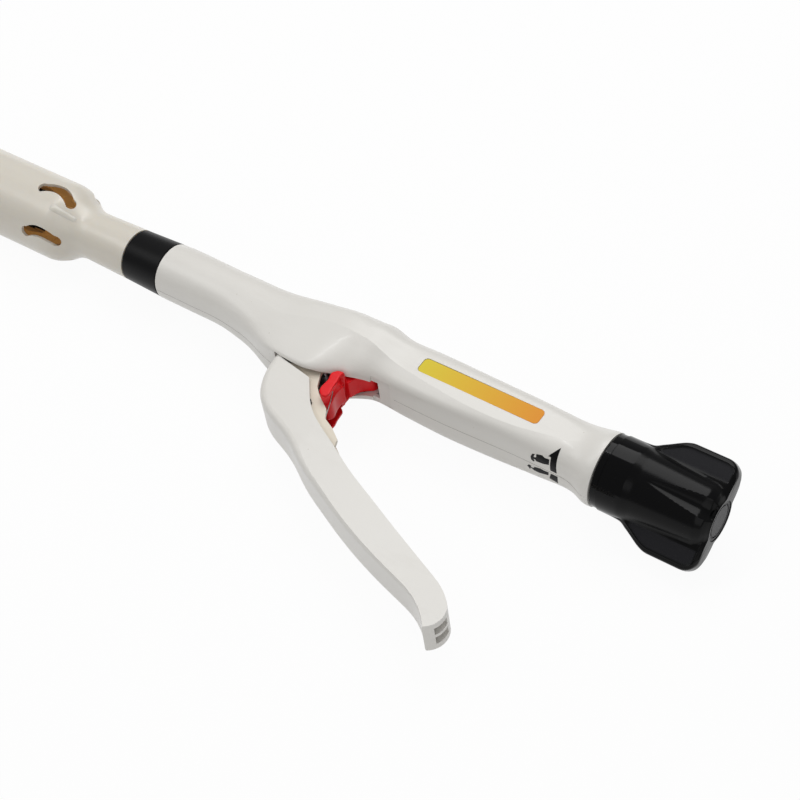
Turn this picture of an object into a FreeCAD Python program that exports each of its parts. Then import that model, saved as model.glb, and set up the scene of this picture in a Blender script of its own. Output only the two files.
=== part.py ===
import FreeCAD, Part
import math
import os

# Circular haemorrhoid stapler, lying on its side, all sizes in millimetres.
# Origin: on the instrument's axis at the front rim of the staple head.
# +X runs along the axis to the adjusting knob, the lever hangs towards -Y, +Z is up.
# The two handle shells part on the plane z = 0.

os.makedirs("parts", exist_ok=True)

# Staple head casing and its neck
HEAD_R = 17.0               # the common 34 mm size
HEAD_BORE_R = 15.6
HEAD_LEN = 50.0             # plain cylinder
SHOULDER_END_X = 69.5
NECK_START_R = 10.4
NECK_END_X = 91.4
NECK_END_R = 10.95
NECK_BORE_R = 5.6
SPIGOT_R = 9.5
SPIGOT_END_X = 128.0
SHOULDER_WALL = 1.5
WINDOW_COUNT = 5
WINDOW_X = 51.0
WINDOW_LEN = 19.0
WINDOW_WIDTH = 5.0
WINDOW_BEND = 1.2           # how far the bean shape bows sideways
WINDOW_FIRST_DEG = 86.0     # angle round the axis, from +Y towards +Z

# Black ring between neck and handle
RING_GAP = 0.3              # between the ring and both its neighbours
RING_FRONT_R = 10.95
RING_BACK_R = 11.65
RING_EDGE = 0.4

# Staple cartridge and staples
CARTRIDGE_R = 15.5
CARTRIDGE_BORE_R = 10.4
CARTRIDGE_LEN = 12.0
STAPLES_PER_ROW = 16
ROW_RADII = (12.0, 14.2)
SLOT_LEN = 3.9
SLOT_WIDTH = 0.9
STAPLE_LEN = 3.5
STAPLE_WIRE = 0.3
STAPLE_CROWN_X = 4.7
STAPLE_TIP_X = 1.0

# Staple pusher, ring knife and driver tube: one moving train
FINGER_LEN = 3.5
FINGER_WIDTH = 0.55
FINGER_TIP_X = 13.6
PUSHER_X = 21.0
PUSHER_FLOOR = 3.0
PUSHER_R = 15.2
PUSHER_WALL = 1.4
PUSHER_CYL_END_X = 39.0
PUSHER_HUB_X = 46.5
PUSHER_HUB_END_X = 55.0
PUSHER_HUB_R = 6.6
THREAD_SLOT_X = 33.0
THREAD_SLOT_END_X = 50.5
THREAD_SLOT_WIDTH = 7.0
KNIFE_R = 10.0
KNIFE_WALL = 0.4
KNIFE_EDGE_X = 6.5
KNIFE_BEVEL = 1.2
DRIVER_R = 4.6
DRIVER_BORE_R = 3.4
DRIVER_END_X = 190.0
COLLAR_X = 186.0
COLLAR_END_X = 196.45
COLLAR_R = 8.8
COLLAR_HUB_R = 5.6
COLLAR_FLANGE = 3.0
COLLAR_LOW_Y = -4.9

# Bush in the neck and return spring behind it
BUSH_X = 118.0
BUSH_LIP = 1.5
BUSH_LIP_R = 7.0
SPRING_TURNS = 9
SPRING_R = 5.9
SPRING_WIRE = 1.0
SPRING_GAP = 0.4

# Pull rod, lead screw and anvil: one sliding train
ROD_R = 3.0
ROD_X = 30.0
SPEAR_R = 2.3
SPEAR_X = 8.0
SPEAR_CONE = 7.0
SPEAR_NECK_R = 1.7
SPEAR_NECK_X = 16.0
SPEAR_NECK_LEN = 3.0
SCREW_X = 246.0
SCREW_R = 3.5
SCREW_END_X = 337.0
SCREW_SPIGOT_R = 1.8
SCREW_SPIGOT_LEN = 9.0
KEYWAY_WIDTH = 1.8
KEYWAY_DEPTH = 0.9
KEYWAY_END_X = 312.0
ROD_PIN_R = 0.75
ROD_PIN_PLAY = 0.03
ROD_PIN_SUNK = 0.3
ANVIL_GAP = 1.0             # closed gap between anvil face and head rim
ANVIL_R = 16.9
ANVIL_BASE_LEN = 5.5
ANVIL_BASE_BEVEL = 0.6
ANVIL_SHAFT_R = 3.6
ANVIL_SHAFT_BORE_R = 2.4
ANVIL_SHAFT_END_X = 28.0
ANVIL_SHAFT_FRONT_X = -9.5
POCKET_LEN = 3.6
POCKET_RIB = 0.2            # half the land between a staple's two pockets
POCKET_WIDTH = 0.9
POCKET_DEPTH = 0.5
WASHER_R = 11.0
WASHER_BORE_R = 8.8
WASHER_GAP = 1.2            # washer face behind the anvil face
WASHER_LEN = 1.6
WASHER_PLAY = 0.05
CAP_LEN = 13.5
CAP_NOSE_R = 4.5
CAP_SKIRT = 2.5

# Handle shells: stations along the axis.  Each gives the back height, the belly depth,
# the half thickness, where the side flat starts, where its belly crease lies, the half
# width of the belly's own flat, how far the crease falls in, and the corner fullness.
HANDLE_X = 110.5
RING_X = NECK_END_X + RING_GAP
RING_END_X = HANDLE_X - RING_GAP
HANDLE_END_X = 315.0
ROUND = 0.5523              # fullness of a true quarter circle
STATIONS = (
    (HANDLE_X, 11.6, 11.6, 11.6, 0.3, 0.3, 0.5, 0.0, ROUND),
    (120.0, 11.8, 11.7, 11.8, 0.3, 0.3, 0.5, 0.0, ROUND),
    (132.0, 11.5, 11.8, 11.7, 0.4, 0.3, 0.6, 0.0, ROUND),
    (143.0, 11.1, 12.0, 11.6, 0.5, 0.6, 1.0, 0.1, 0.57),
    (151.0, 10.9, 13.0, 11.6, 0.8, 1.6, 2.0, 0.3, 0.59),
    (158.0, 10.7, 14.3, 11.6, 1.0, 3.0, 3.0, 0.7, 0.60),
    (165.0, 10.7, 16.5, 11.8, 1.2, 3.8, 4.5, 1.2, 0.61),
    (172.0, 11.1, 18.9, 12.3, 1.6, 4.6, 6.5, 1.8, 0.63),
    (180.0, 11.8, 20.6, 13.3, 2.6, 3.2, 8.4, 2.4, 0.65),
    (190.0, 12.7, 21.4, 14.2, 3.6, 1.0, 9.4, 2.9, 0.66),
    (198.0, 13.8, 20.6, 14.8, 4.2, 0.2, 9.2, 3.1, 0.65),
    (204.0, 14.7, 17.5, 14.9, 4.4, 0.4, 7.2, 3.6, 0.58),
    (208.5, 15.4, 15.2, 14.8, 4.5, 0.6, 5.8, 3.9, 0.53),
    (213.0, 15.9, 13.0, 14.6, 4.4, 1.2, 5.0, 3.5, 0.52),
    (217.0, 15.2, 11.7, 13.8, 4.2, 2.0, 4.4, 2.9, 0.53),
    (221.5, 13.8, 11.3, 12.7, 4.2, 3.0, 4.5, 2.1, 0.57),
    (228.0, 13.2, 11.5, 11.9, 4.4, 4.2, 5.0, 1.4, 0.63),
    (238.0, 13.1, 11.8, 11.7, 4.8, 5.4, 5.2, 1.0, 0.67),
    (250.0, 12.8, 12.0, 11.7, 5.0, 6.8, 5.2, 0.9, 0.67),
    (262.0, 12.5, 11.7, 11.6, 5.0, 7.6, 5.0, 0.9, 0.67),
    (274.0, 12.4, 11.3, 11.5, 4.9, 7.4, 4.6, 0.8, 0.66),
    (286.0, 12.2, 11.1, 11.4, 4.6, 5.8, 4.0, 0.7, 0.65),
    (295.0, 12.2, 11.2, 11.4, 3.6, 4.0, 3.2, 0.5, 0.62),
    (302.0, 12.6, 11.3, 11.6, 2.2, 2.6, 2.4, 0.3, 0.59),
    (308.0, 13.5, 12.7, 12.6, 1.0, 1.2, 1.4, 0.1, 0.57),
    (311.5, 14.1, 14.4, 13.9, 0.4, 0.4, 0.7, 0.0, ROUND),
    (HANDLE_END_X, 14.4, 14.6, 14.4, 0.3, 0.3, 0.5, 0.0, ROUND),
)
SHELL_WALL = 2.0
BELLY_SHARE = 0.4            # how much of the wall comes off the belly's half width
MIN_HALF_WIDTH = 0.5
CAVITY_X = 120.0            # both ends of the cavity are stations
CAVITY_END_X = 302.0
FRONT_WALL_BORE_R = 9.55
MOUTH_END_X = 221.0          # mouth in the belly that the lever comes out of
MOUTH_EDGE = ((198.0, 9.4), (204.0, 7.5), (209.5, 6.0), (214.5, 4.8), (MOUTH_END_X, 4.7))
MOUTH_X = 179.7
MOUTH_TOP_Y = -3.6
REBATE_X = 218.0             # shallow step round the rear end of the mouth
REBATE_END_X = 226.8
REBATE_HALF = 7.4
REBATE_TOP_Y = -10.7
BOSS_R = 3.6
RIB_THICK = 1.4
RIB_XS = (140.0, 160.0, 268.0, 284.0)
RIB_BORE_R = 7.2

# Label recess on the upper side flat
LABEL_X = 234.0
LABEL_END_X = 287.0
LABEL_LOW_Y = -2.6
LABEL_HIGH_Y = 4.6
LABEL_CORNER_R = 1.8
LABEL_FLOOR_Z = 11.2
LABEL_THICK = 0.25
LABEL_PLAY = 0.12

# Lever, its inner channel and its fork
PIVOT_X = 195.0
PIVOT_Y = -11.0
PIVOT_PIN_R = 2.0
PIN_PLAY = 0.05
PIVOT_PIN_HALF = 11.0
LEVER_HALF = 9.0
LEVER_TIP_HALF = 7.6
LEVER_EDGE_R = 2.6
LEVER_FLOOR = 2.4
LEVER_CHANNEL_HALF = 7.1
LEVER_TAPER_X = 215.0
LEVER_TIP_X = 305.0
TIP_POCKET_X = 295.5
TIP_POCKET_IN = 0.8
TIP_POCKET_OUT = 4.8
TIP_POCKET_LOW_Y = -90.6
TIP_POCKET_HIGH_Y = -84.4
CORE_HALF = 6.8
CORE_GAP = 0.3
CORE_THICK = 1.6
CORE_PIVOT_R = 4.8
FORK_HALF = 5.1
FORK_THICK = 1.1
FORK_TIP_R = 2.4
FORK_REACH = 17.0           # pivot to the centre of the fork's tip
FORK_LEAN_DEG = 14.0        # the fork leans back by this much at rest
RIVET_R = 1.3
RIVET_SKIN = 0.8            # skin left outside each rivet in the lever's wall
FORK_PIN_R = 1.3
RIVET_SPOTS = ((190.0, -26.0), (205.0, -33.0), (216.5, -42.5))

# Safety catch
CATCH_X = 215.5
CATCH_Y = -7.0
CATCH_HUB_R = 2.3
CATCH_PIN_R = 1.1
CATCH_PIN_HALF = 7.2
CATCH_HALF = 4.4
CATCH_BODY = ((213.8, -5.6), (217.2, -8.6), (213.2, -11.6), (211.3, -15.4), (210.1, -19.8),
              (210.4, -24.5), (211.0, -28.0), (209.6, -29.6), (207.4, -29.0), (205.4, -27.0),
              (205.1, -23.0), (206.5, -18.0), (207.8, -14.0), (210.4, -8.8))
CATCH_WING = ((207.3, -17.2), (209.3, -16.7), (210.1, -18.8), (210.6, -21.6), (210.9, -24.6),
              (211.5, -27.6), (210.9, -29.2), (209.2, -29.6), (207.3, -28.2), (206.7, -25.2),
              (206.8, -21.6))
CATCH_BRIDGE = ((207.5, -16.9), (209.4, -16.4), (211.3, -16.2), (211.1, -18.2), (208.6, -18.0))
WING_INNER = 9.35
WING_OUTER = 10.7
CATCH_SPRING = ((208.4, -22.4), (210.4, -26.5), (211.7, -29.8), (213.6, -34.8))
CATCH_SPRING_WIRE = 0.4

# Screw guide, sleeve, bearing and knob
GUIDE_X = 250.0
GUIDE_END_X = 258.0
GUIDE_HALF_Y = 9.6
GUIDE_HALF_Z = 9.2
SCREW_PLAY = 0.06
SLEEVE_X = 280.0
SLEEVE_END_X = 341.0
SLEEVE_R = 6.9
BEARING_X = 303.0
BEARING_END_X = 314.4
BEARING_R = 7.5
CLIP_X = 300.9
CLIP_THICK = 1.4
CLIP_R = 9.0
CLIP_GROOVE = 0.9
CLIP_MOUTH = 9.0
RIB_CLEAR = 0.6
KNOB_X = 315.4
KNOB_END_X = 360.5
KNOB_RIM_R = 14.3
KNOB_STEP_X = 318.0
KNOB_STEP_R = 14.7
KNOB_STEP_END_X = 327.5
HUB_R = 14.0
HUB_END_R = 12.6
HUB_END_X = 359.0
WING_X = 326.0
WING_SPAN = 21.4
WING_HALF_THICK = 5.6
WING_FACE_X = 342.0
WING_EDGE_R = 1.6
WING_TURN_DEG = 32.0        # how the knob stands in the rest pose
WING_CORNER_R = 6.0
FLUTE_START_R = 2.0
FLUTE_END_R = 9.0
FLUTE_TILT_DEG = -10.0
FLUTE_X = 331.0
KNOB_BORE_R = 7.0
CAP_R = 7.9
KNOB_CAP_LEN = 1.8
KNOB_PIN_R = 1.2
KNOB_PIN_X = 333.0
KNOB_PIN_IN = 0.4
KNOB_PIN_OUT = 11.0

X_AXIS = FreeCAD.Vector(1, 0, 0)
Z_AXIS = FreeCAD.Vector(0, 0, 1)
ORIGIN = FreeCAD.Vector(0, 0, 0)
BIG = 400.0


def vec(x, y, z=0.0):
    return FreeCAD.Vector(x, y, z)


def save(name, shape):
    if shape.ShapeType == "Compound" and len(shape.Solids) == 1:
        shape = shape.Solids[0]
    shape.exportStep("parts/" + name + ".step")
    print(name, "solids", len(shape.Solids), "valid", shape.isValid(), "volume", round(shape.Volume, 1))
    return shape


def polygon_face(points):
    """Face in the XY plane from corner points."""
    corners = [vec(*p) for p in points]
    return Part.Face(Part.makePolygon(corners + corners[:1]))


def revolve(points):
    """Solid turned round the X axis from (x, radius) corners."""
    return polygon_face(points).revolve(ORIGIN, X_AXIS, 360)


def tube(x0, x1, outer, inner):
    return revolve(((x0, inner), (x1, inner), (x1, outer), (x0, outer)))


def rod(x0, x1, radius):
    return Part.makeCylinder(radius, x1 - x0, vec(x0, 0, 0), X_AXIS)


def cross_pin(x, y, radius, half):
    return Part.makeCylinder(radius, 2 * half, vec(x, y, -half), Z_AXIS)


def block(x0, x1, y0, y1, z0, z1):
    return Part.makeBox(x1 - x0, y1 - y0, z1 - z0, vec(x0, y0, z0))


def slab(face, z0, z1):
    """Extrude a face of the XY plane from height z0 to z1."""
    return face.translated(vec(0, 0, z0)).extrude(vec(0, 0, z1 - z0))


def pair_of_slabs(face, z0, z1):
    """The same plate on both sides of the parting plane."""
    return slab(face, z0, z1).fuse(slab(face, -z1, -z0))


def turned(shape, degrees, x=0.0, y=0.0, axis=X_AXIS):
    copy = shape.copy()
    copy.rotate(vec(x, y, 0), axis, degrees)
    return copy


def ring_of(shape, count, first_deg=0.0):
    """Copies of a shape evenly round the X axis."""
    step = 360.0 / count
    return [turned(shape, first_deg + step * i) for i in range(count)]


def smooth_face(points):
    """Face bounded by one smooth closed curve through points of the XY plane."""
    curve = Part.BSplineCurve()
    curve.interpolate([vec(*p) for p in points], PeriodicFlag=True)
    return Part.Face(Part.Wire(curve.toShape()))


# Staple head

def shoulder_curve(start, end, r0, r1):
    """S-shaped line from one radius down to another."""
    span = (end - start) * 0.48
    curve = Part.BezierCurve()
    curve.setPoles([vec(start, r0), vec(start + span, r0), vec(end - span, r1), vec(end, r1)])
    return curve.toShape()


def window_cutter():
    """Bean-shaped window, bowed sideways, cut from above."""
    half = WINDOW_LEN / 2
    end_r = WINDOW_WIDTH / 2
    x0 = WINDOW_X - half
    x1 = WINDOW_X + half
    low = -end_r - WINDOW_BEND
    high = end_r - WINDOW_BEND
    outer = Part.Arc(vec(x0 + end_r, high), vec(WINDOW_X, end_r + WINDOW_BEND), vec(x1 - end_r, high))
    right = Part.Arc(vec(x1 - end_r, high), vec(x1, -WINDOW_BEND), vec(x1 - end_r, low))
    inner = Part.Arc(vec(x1 - end_r, low), vec(WINDOW_X, -end_r + WINDOW_BEND), vec(x0 + end_r, low))
    left = Part.Arc(vec(x0 + end_r, low), vec(x0, -WINDOW_BEND), vec(x0 + end_r, high))
    wire = Part.Wire([outer.toShape(), right.toShape(), inner.toShape(), left.toShape()])
    return slab(Part.Face(wire), NECK_BORE_R, HEAD_R + 2)


def head_casing():
    outer_bend = shoulder_curve(HEAD_LEN, SHOULDER_END_X, HEAD_R, NECK_START_R)
    inner_bend = shoulder_curve(HEAD_LEN, SHOULDER_END_X, HEAD_BORE_R, NECK_START_R - SHOULDER_WALL)
    lines = [
        Part.makeLine(vec(0, HEAD_BORE_R), vec(0, HEAD_R)),
        Part.makeLine(vec(0, HEAD_R), vec(HEAD_LEN, HEAD_R)),
        outer_bend,
        Part.makeLine(vec(SHOULDER_END_X, NECK_START_R), vec(NECK_END_X, NECK_END_R)),
        Part.makeLine(vec(NECK_END_X, NECK_END_R), vec(NECK_END_X, SPIGOT_R)),
        Part.makeLine(vec(NECK_END_X, SPIGOT_R), vec(SPIGOT_END_X, SPIGOT_R)),
        Part.makeLine(vec(SPIGOT_END_X, SPIGOT_R), vec(SPIGOT_END_X, NECK_BORE_R)),
        Part.makeLine(vec(SPIGOT_END_X, NECK_BORE_R), vec(SHOULDER_END_X, NECK_BORE_R)),
        Part.makeLine(vec(SHOULDER_END_X, NECK_BORE_R), vec(SHOULDER_END_X, NECK_START_R - SHOULDER_WALL)),
        inner_bend,
        Part.makeLine(vec(HEAD_LEN, HEAD_BORE_R), vec(0, HEAD_BORE_R)),
    ]
    wire = Part.Wire(Part.__sortEdges__(lines))
    body = Part.Face(wire).revolve(ORIGIN, X_AXIS, 360)
    cutter = window_cutter()
    for one in ring_of(cutter, WINDOW_COUNT, WINDOW_FIRST_DEG - 90.0):
        body = body.cut(one)
    return body


def front_ring():
    e = RING_EDGE
    return revolve((
        (RING_X, SPIGOT_R + PIN_PLAY), (RING_X, RING_FRONT_R - e), (RING_X + e, RING_FRONT_R),
        (RING_END_X - e, RING_BACK_R), (RING_END_X, RING_BACK_R - e),
        (RING_END_X, SPIGOT_R + PIN_PLAY),
    ))


def row_boxes(x0, x1, length, width):
    """One box for every staple place: two staggered rows round the axis."""
    step = 360.0 / STAPLES_PER_ROW
    boxes = []
    for row, radius in enumerate(ROW_RADII):
        one = block(x0, x1, -length / 2, length / 2, radius - width / 2, radius + width / 2)
        boxes += ring_of(one, STAPLES_PER_ROW, row * step / 2)
    return boxes


def staple_cartridge():
    body = tube(0.0, CARTRIDGE_LEN, CARTRIDGE_R, CARTRIDGE_BORE_R)
    return body.cut(Part.makeCompound(row_boxes(-1, CARTRIDGE_LEN + 1, SLOT_LEN, SLOT_WIDTH)))


def one_staple(radius):
    half = STAPLE_LEN / 2
    low = radius - STAPLE_WIRE / 2
    high = radius + STAPLE_WIRE / 2
    back = STAPLE_CROWN_X + STAPLE_WIRE
    crown = block(STAPLE_CROWN_X, back, -half, half, low, high)
    leg_a = block(STAPLE_TIP_X, back, -half, -half + STAPLE_WIRE, low, high)
    leg_b = block(STAPLE_TIP_X, back, half - STAPLE_WIRE, half, low, high)
    return crown.fuse([leg_a, leg_b]).removeSplitter()


def staples():
    step = 360.0 / STAPLES_PER_ROW
    made = []
    for row, radius in enumerate(ROW_RADII):
        made += ring_of(one_staple(radius), STAPLES_PER_ROW, row * step / 2)
    return Part.makeCompound(made)


def thread_slots():
    """Cutters for the slots that the tissue threads run out through."""
    half = THREAD_SLOT_WIDTH / 2
    one = block(THREAD_SLOT_X, THREAD_SLOT_END_X, -half, half, KNIFE_R - 2.0, PUSHER_R + 1.0)
    return Part.makeCompound(ring_of(one, WINDOW_COUNT, WINDOW_FIRST_DEG - 90.0))


def staple_pusher():
    floor = PUSHER_X + PUSHER_FLOOR
    inner = PUSHER_R - PUSHER_WALL
    back = PUSHER_HUB_X + PUSHER_FLOOR
    body = revolve((
        (PUSHER_X, CARTRIDGE_BORE_R), (PUSHER_X, PUSHER_R), (PUSHER_CYL_END_X, PUSHER_R),
        (back, CARTRIDGE_BORE_R + 0.5), (back, PUSHER_HUB_R), (PUSHER_HUB_END_X, PUSHER_HUB_R),
        (PUSHER_HUB_END_X, DRIVER_R + SCREW_PLAY), (back, DRIVER_R + SCREW_PLAY),
        (back, DRIVER_BORE_R), (PUSHER_HUB_X, DRIVER_BORE_R), (PUSHER_HUB_X, CARTRIDGE_BORE_R),
        (PUSHER_CYL_END_X, inner), (floor, inner), (floor, CARTRIDGE_BORE_R),
    ))
    body = body.cut(thread_slots())
    return body.fuse(row_boxes(FINGER_TIP_X, PUSHER_X + 0.5, FINGER_LEN, FINGER_WIDTH))


def ring_knife():
    inner = KNIFE_R - KNIFE_WALL
    return revolve((
        (KNIFE_EDGE_X, inner), (KNIFE_EDGE_X + KNIFE_BEVEL, KNIFE_R), (PUSHER_HUB_X, KNIFE_R),
        (PUSHER_HUB_X, inner),
    )).cut(thread_slots())


def driver_tube():
    return tube(PUSHER_HUB_X + PUSHER_FLOOR, DRIVER_END_X, DRIVER_R, DRIVER_BORE_R)


def driver_collar():
    """Sleeve with a flange that the lever's fork pushes forwards."""
    bore = DRIVER_R + SCREW_PLAY
    body = revolve((
        (COLLAR_X, bore), (COLLAR_X, COLLAR_HUB_R), (COLLAR_END_X - COLLAR_FLANGE, COLLAR_HUB_R),
        (COLLAR_END_X - COLLAR_FLANGE, COLLAR_R), (COLLAR_END_X, COLLAR_R),
        (COLLAR_END_X, DRIVER_BORE_R), (DRIVER_END_X, DRIVER_BORE_R), (DRIVER_END_X, bore),
    ))
    return body.cut(block(COLLAR_X - 1, COLLAR_END_X + 1, -BIG, COLLAR_LOW_Y, -BIG, BIG))


def neck_bush():
    bore = DRIVER_R + SCREW_PLAY
    body = NECK_BORE_R - PIN_PLAY
    return revolve((
        (BUSH_X, bore), (BUSH_X, body), (SPIGOT_END_X, body), (SPIGOT_END_X, BUSH_LIP_R),
        (SPIGOT_END_X + BUSH_LIP, BUSH_LIP_R), (SPIGOT_END_X + BUSH_LIP, bore),
    ))


def driver_return_spring():
    start = SPIGOT_END_X + BUSH_LIP + SPRING_GAP
    length = COLLAR_X - SPRING_GAP - start - SPRING_WIRE
    helix = Part.makeHelix(length / SPRING_TURNS, length, SPRING_R)
    half = SPRING_WIRE / 2
    corners = [vec(SPRING_R - half, 0, -half), vec(SPRING_R + half, 0, -half),
               vec(SPRING_R + half, 0, half), vec(SPRING_R - half, 0, half)]
    outline = Part.makePolygon(corners + corners[:1])
    coil = Part.Wire(helix).makePipeShell([outline], True, True)
    coil.rotate(ORIGIN, vec(0, 1, 0), 90)
    coil.translate(vec(start + half, 0, 0))
    return coil


# Anvil, pull rod and lead screw

def anvil_face_x():
    return -ANVIL_GAP


def anvil_base():
    face = anvil_face_x()
    back = face - ANVIL_BASE_LEN
    seat = face - WASHER_GAP - WASHER_LEN
    b = ANVIL_BASE_BEVEL
    body = revolve((
        (face, ANVIL_SHAFT_R + PIN_PLAY), (face, WASHER_BORE_R - WASHER_PLAY),
        (seat, WASHER_BORE_R - WASHER_PLAY), (seat, WASHER_R + WASHER_PLAY),
        (face, WASHER_R + WASHER_PLAY), (face, ANVIL_R - b), (face - b, ANVIL_R), (back, ANVIL_R),
        (back, ANVIL_SHAFT_R + PIN_PLAY),
    ))
    shift = (POCKET_LEN / 2 + POCKET_RIB) / 2
    step = 360.0 / STAPLES_PER_ROW
    pockets = []
    for row, radius in enumerate(ROW_RADII):
        for side in (-shift, shift):
            half = (POCKET_LEN / 2 - POCKET_RIB) / 2
            one = block(face - POCKET_DEPTH, face + 1, side - half, side + half,
                        radius - POCKET_WIDTH / 2, radius + POCKET_WIDTH / 2)
            pockets += ring_of(one, STAPLES_PER_ROW, row * step / 2)
    return body.cut(Part.makeCompound(pockets))


def cutting_washer():
    front = anvil_face_x() - WASHER_GAP
    return tube(front - WASHER_LEN, front, WASHER_R, WASHER_BORE_R)


def anvil_cap():
    """Rounded nose that leads the instrument in."""
    back = anvil_face_x() - ANVIL_BASE_LEN
    nose = back - CAP_LEN
    skirt = back - CAP_SKIRT
    arc = Part.BezierCurve()
    arc.setPoles([vec(skirt, ANVIL_R), vec(skirt - 3.5, ANVIL_R), vec(nose, CAP_NOSE_R + 7.0),
                  vec(nose, CAP_NOSE_R)])
    bore = ANVIL_SHAFT_R + PIN_PLAY
    lines = [
        Part.makeLine(vec(back, bore), vec(back, ANVIL_R)),
        Part.makeLine(vec(back, ANVIL_R), vec(skirt, ANVIL_R)),
        arc.toShape(),
        Part.makeLine(vec(nose, CAP_NOSE_R), vec(nose, 0)),
        Part.makeLine(vec(nose, 0), vec(ANVIL_SHAFT_FRONT_X - SCREW_PLAY, 0)),
        Part.makeLine(vec(ANVIL_SHAFT_FRONT_X - SCREW_PLAY, 0), vec(ANVIL_SHAFT_FRONT_X - SCREW_PLAY, bore)),
        Part.makeLine(vec(ANVIL_SHAFT_FRONT_X - SCREW_PLAY, bore), vec(back, bore)),
    ]
    return Part.Face(Part.Wire(Part.__sortEdges__(lines))).revolve(ORIGIN, X_AXIS, 360)


def anvil_shaft():
    return revolve((
        (ANVIL_SHAFT_FRONT_X, 0), (ANVIL_SHAFT_FRONT_X, ANVIL_SHAFT_R),
        (ANVIL_SHAFT_END_X, ANVIL_SHAFT_R), (ANVIL_SHAFT_END_X, ANVIL_SHAFT_BORE_R),
        (SPEAR_X - 2.0, ANVIL_SHAFT_BORE_R), (SPEAR_X - 2.0, 0),
    ))


def pull_rod():
    """Long rod with the spear point that the anvil's sleeve snaps on to."""
    neck_end = SPEAR_NECK_X + SPEAR_NECK_LEN
    body = revolve((
        (SPEAR_X, 0), (SPEAR_X + SPEAR_CONE, SPEAR_R), (SPEAR_NECK_X, SPEAR_R),
        (SPEAR_NECK_X, SPEAR_NECK_R), (neck_end, SPEAR_NECK_R), (neck_end, SPEAR_R),
        (ROD_X, SPEAR_R), (ROD_X, ROD_R), (SCREW_X, ROD_R), (SCREW_X, SCREW_SPIGOT_R),
        (SCREW_X + SCREW_SPIGOT_LEN, SCREW_SPIGOT_R), (SCREW_X + SCREW_SPIGOT_LEN, 0),
    ))
    return body.cut(rod_cross_pin(ROD_PIN_PLAY))


def rod_cross_pin(play=0.0):
    x = SCREW_X + SCREW_SPIGOT_LEN / 2
    return cross_pin(x, 0, ROD_PIN_R + play, SCREW_R - ROD_PIN_SUNK)


def lead_screw():
    body = rod(SCREW_X, SCREW_END_X, SCREW_R)
    body = body.cut(rod(SCREW_X, SCREW_X + SCREW_SPIGOT_LEN + SCREW_PLAY, SCREW_SPIGOT_R + ROD_PIN_PLAY))
    half = KEYWAY_WIDTH / 2
    body = body.cut(block(SCREW_X - 1, KEYWAY_END_X, SCREW_R - KEYWAY_DEPTH, SCREW_R + 1, -half, half))
    return body.cut(cross_pin(SCREW_X + SCREW_SPIGOT_LEN / 2, 0, ROD_PIN_R + ROD_PIN_PLAY, SCREW_R + 1))


def screw_guide():
    """Block between the shells with a key that stops the screw turning."""
    body = block(GUIDE_X, GUIDE_END_X, -GUIDE_HALF_Y, GUIDE_HALF_Y, -GUIDE_HALF_Z, GUIDE_HALF_Z)
    body = body.cut(rod(GUIDE_X - 1, GUIDE_END_X + 1, SCREW_R + SCREW_PLAY))
    half = KEYWAY_WIDTH / 2 - SCREW_PLAY
    key = block(GUIDE_X, GUIDE_END_X, SCREW_R - KEYWAY_DEPTH + SCREW_PLAY, SCREW_R + 1, -half, half)
    return body.fuse(key)


# Handle shells

def half_section(station, inset):
    """Poles of the half outline at one station: back corner, side, belly corner, belly."""
    x, back, belly, side, flat_y, crease_y, belly_z, drop, full = station
    top = back - inset
    low = inset - belly
    z = side - inset
    crease = -crease_y
    bz = max(belly_z - inset * BELLY_SHARE, MIN_HALF_WIDTH)
    back_corner = (vec(x, top, 0), vec(x, top, full * z), vec(x, flat_y + full * (top - flat_y), z),
                   vec(x, flat_y, z))
    flat = (vec(x, flat_y, z), vec(x, crease, z))
    belly_corner = (vec(x, crease, z), vec(x, crease + full * (low - crease), z - drop),
                    vec(x, low, bz + full * (z - bz)), vec(x, low, bz))
    under = (vec(x, low, bz), vec(x, low, 0))
    return back_corner, flat, belly_corner, under


def spline_along(points):
    """Smooth line through points that stand at the stations' places along the axis."""
    curve = Part.BSplineCurve()
    curve.interpolate(Points=list(points), Parameters=[p.x for p in points])
    return curve


def skin(rows):
    """Smooth surface through one part of every section."""
    curves = [spline_along(column) for column in zip(*rows)]
    order = len(curves)
    surface = Part.BSplineSurface()
    surface.buildFromPolesMultsKnots([c.getPoles() for c in curves], [order, order],
                                     curves[0].getMultiplicities(), [0.0, 1.0], curves[0].getKnots(),
                                     False, False, order - 1, curves[0].Degree)
    return surface.toShape(), curves[0].toShape(), curves[-1].toShape()


def cap(section):
    """Flat end that closes a row of skins."""
    edges = []
    for poles in section:
        curve = Part.BezierCurve()
        curve.setPoles(list(poles))
        edges.append(curve.toShape())
    edges.append(Part.makeLine(section[-1][-1], section[0][0]))
    return Part.Face(Part.Wire(edges))


def half_loft(inset, start, end):
    """Solid through the half sections between two places on the axis."""
    sections = [half_section(s, inset) for s in STATIONS if start <= s[0] <= end]
    skins = [skin(rows) for rows in zip(*sections)]
    back = skins[0][1]
    belly = skins[-1][2]
    ends = [Part.makeLine(section[-1][-1], section[0][0]) for section in (sections[0], sections[-1])]
    parting = Part.Face(Part.Wire(Part.__sortEdges__([back, belly] + ends)))
    shell = Part.makeShell([made[0] for made in skins] + [parting, cap(sections[0]), cap(sections[-1])])
    shell.sewShape()
    solid = Part.Solid(shell)
    if solid.Volume < 0:
        solid.reverse()
    return solid


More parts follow.
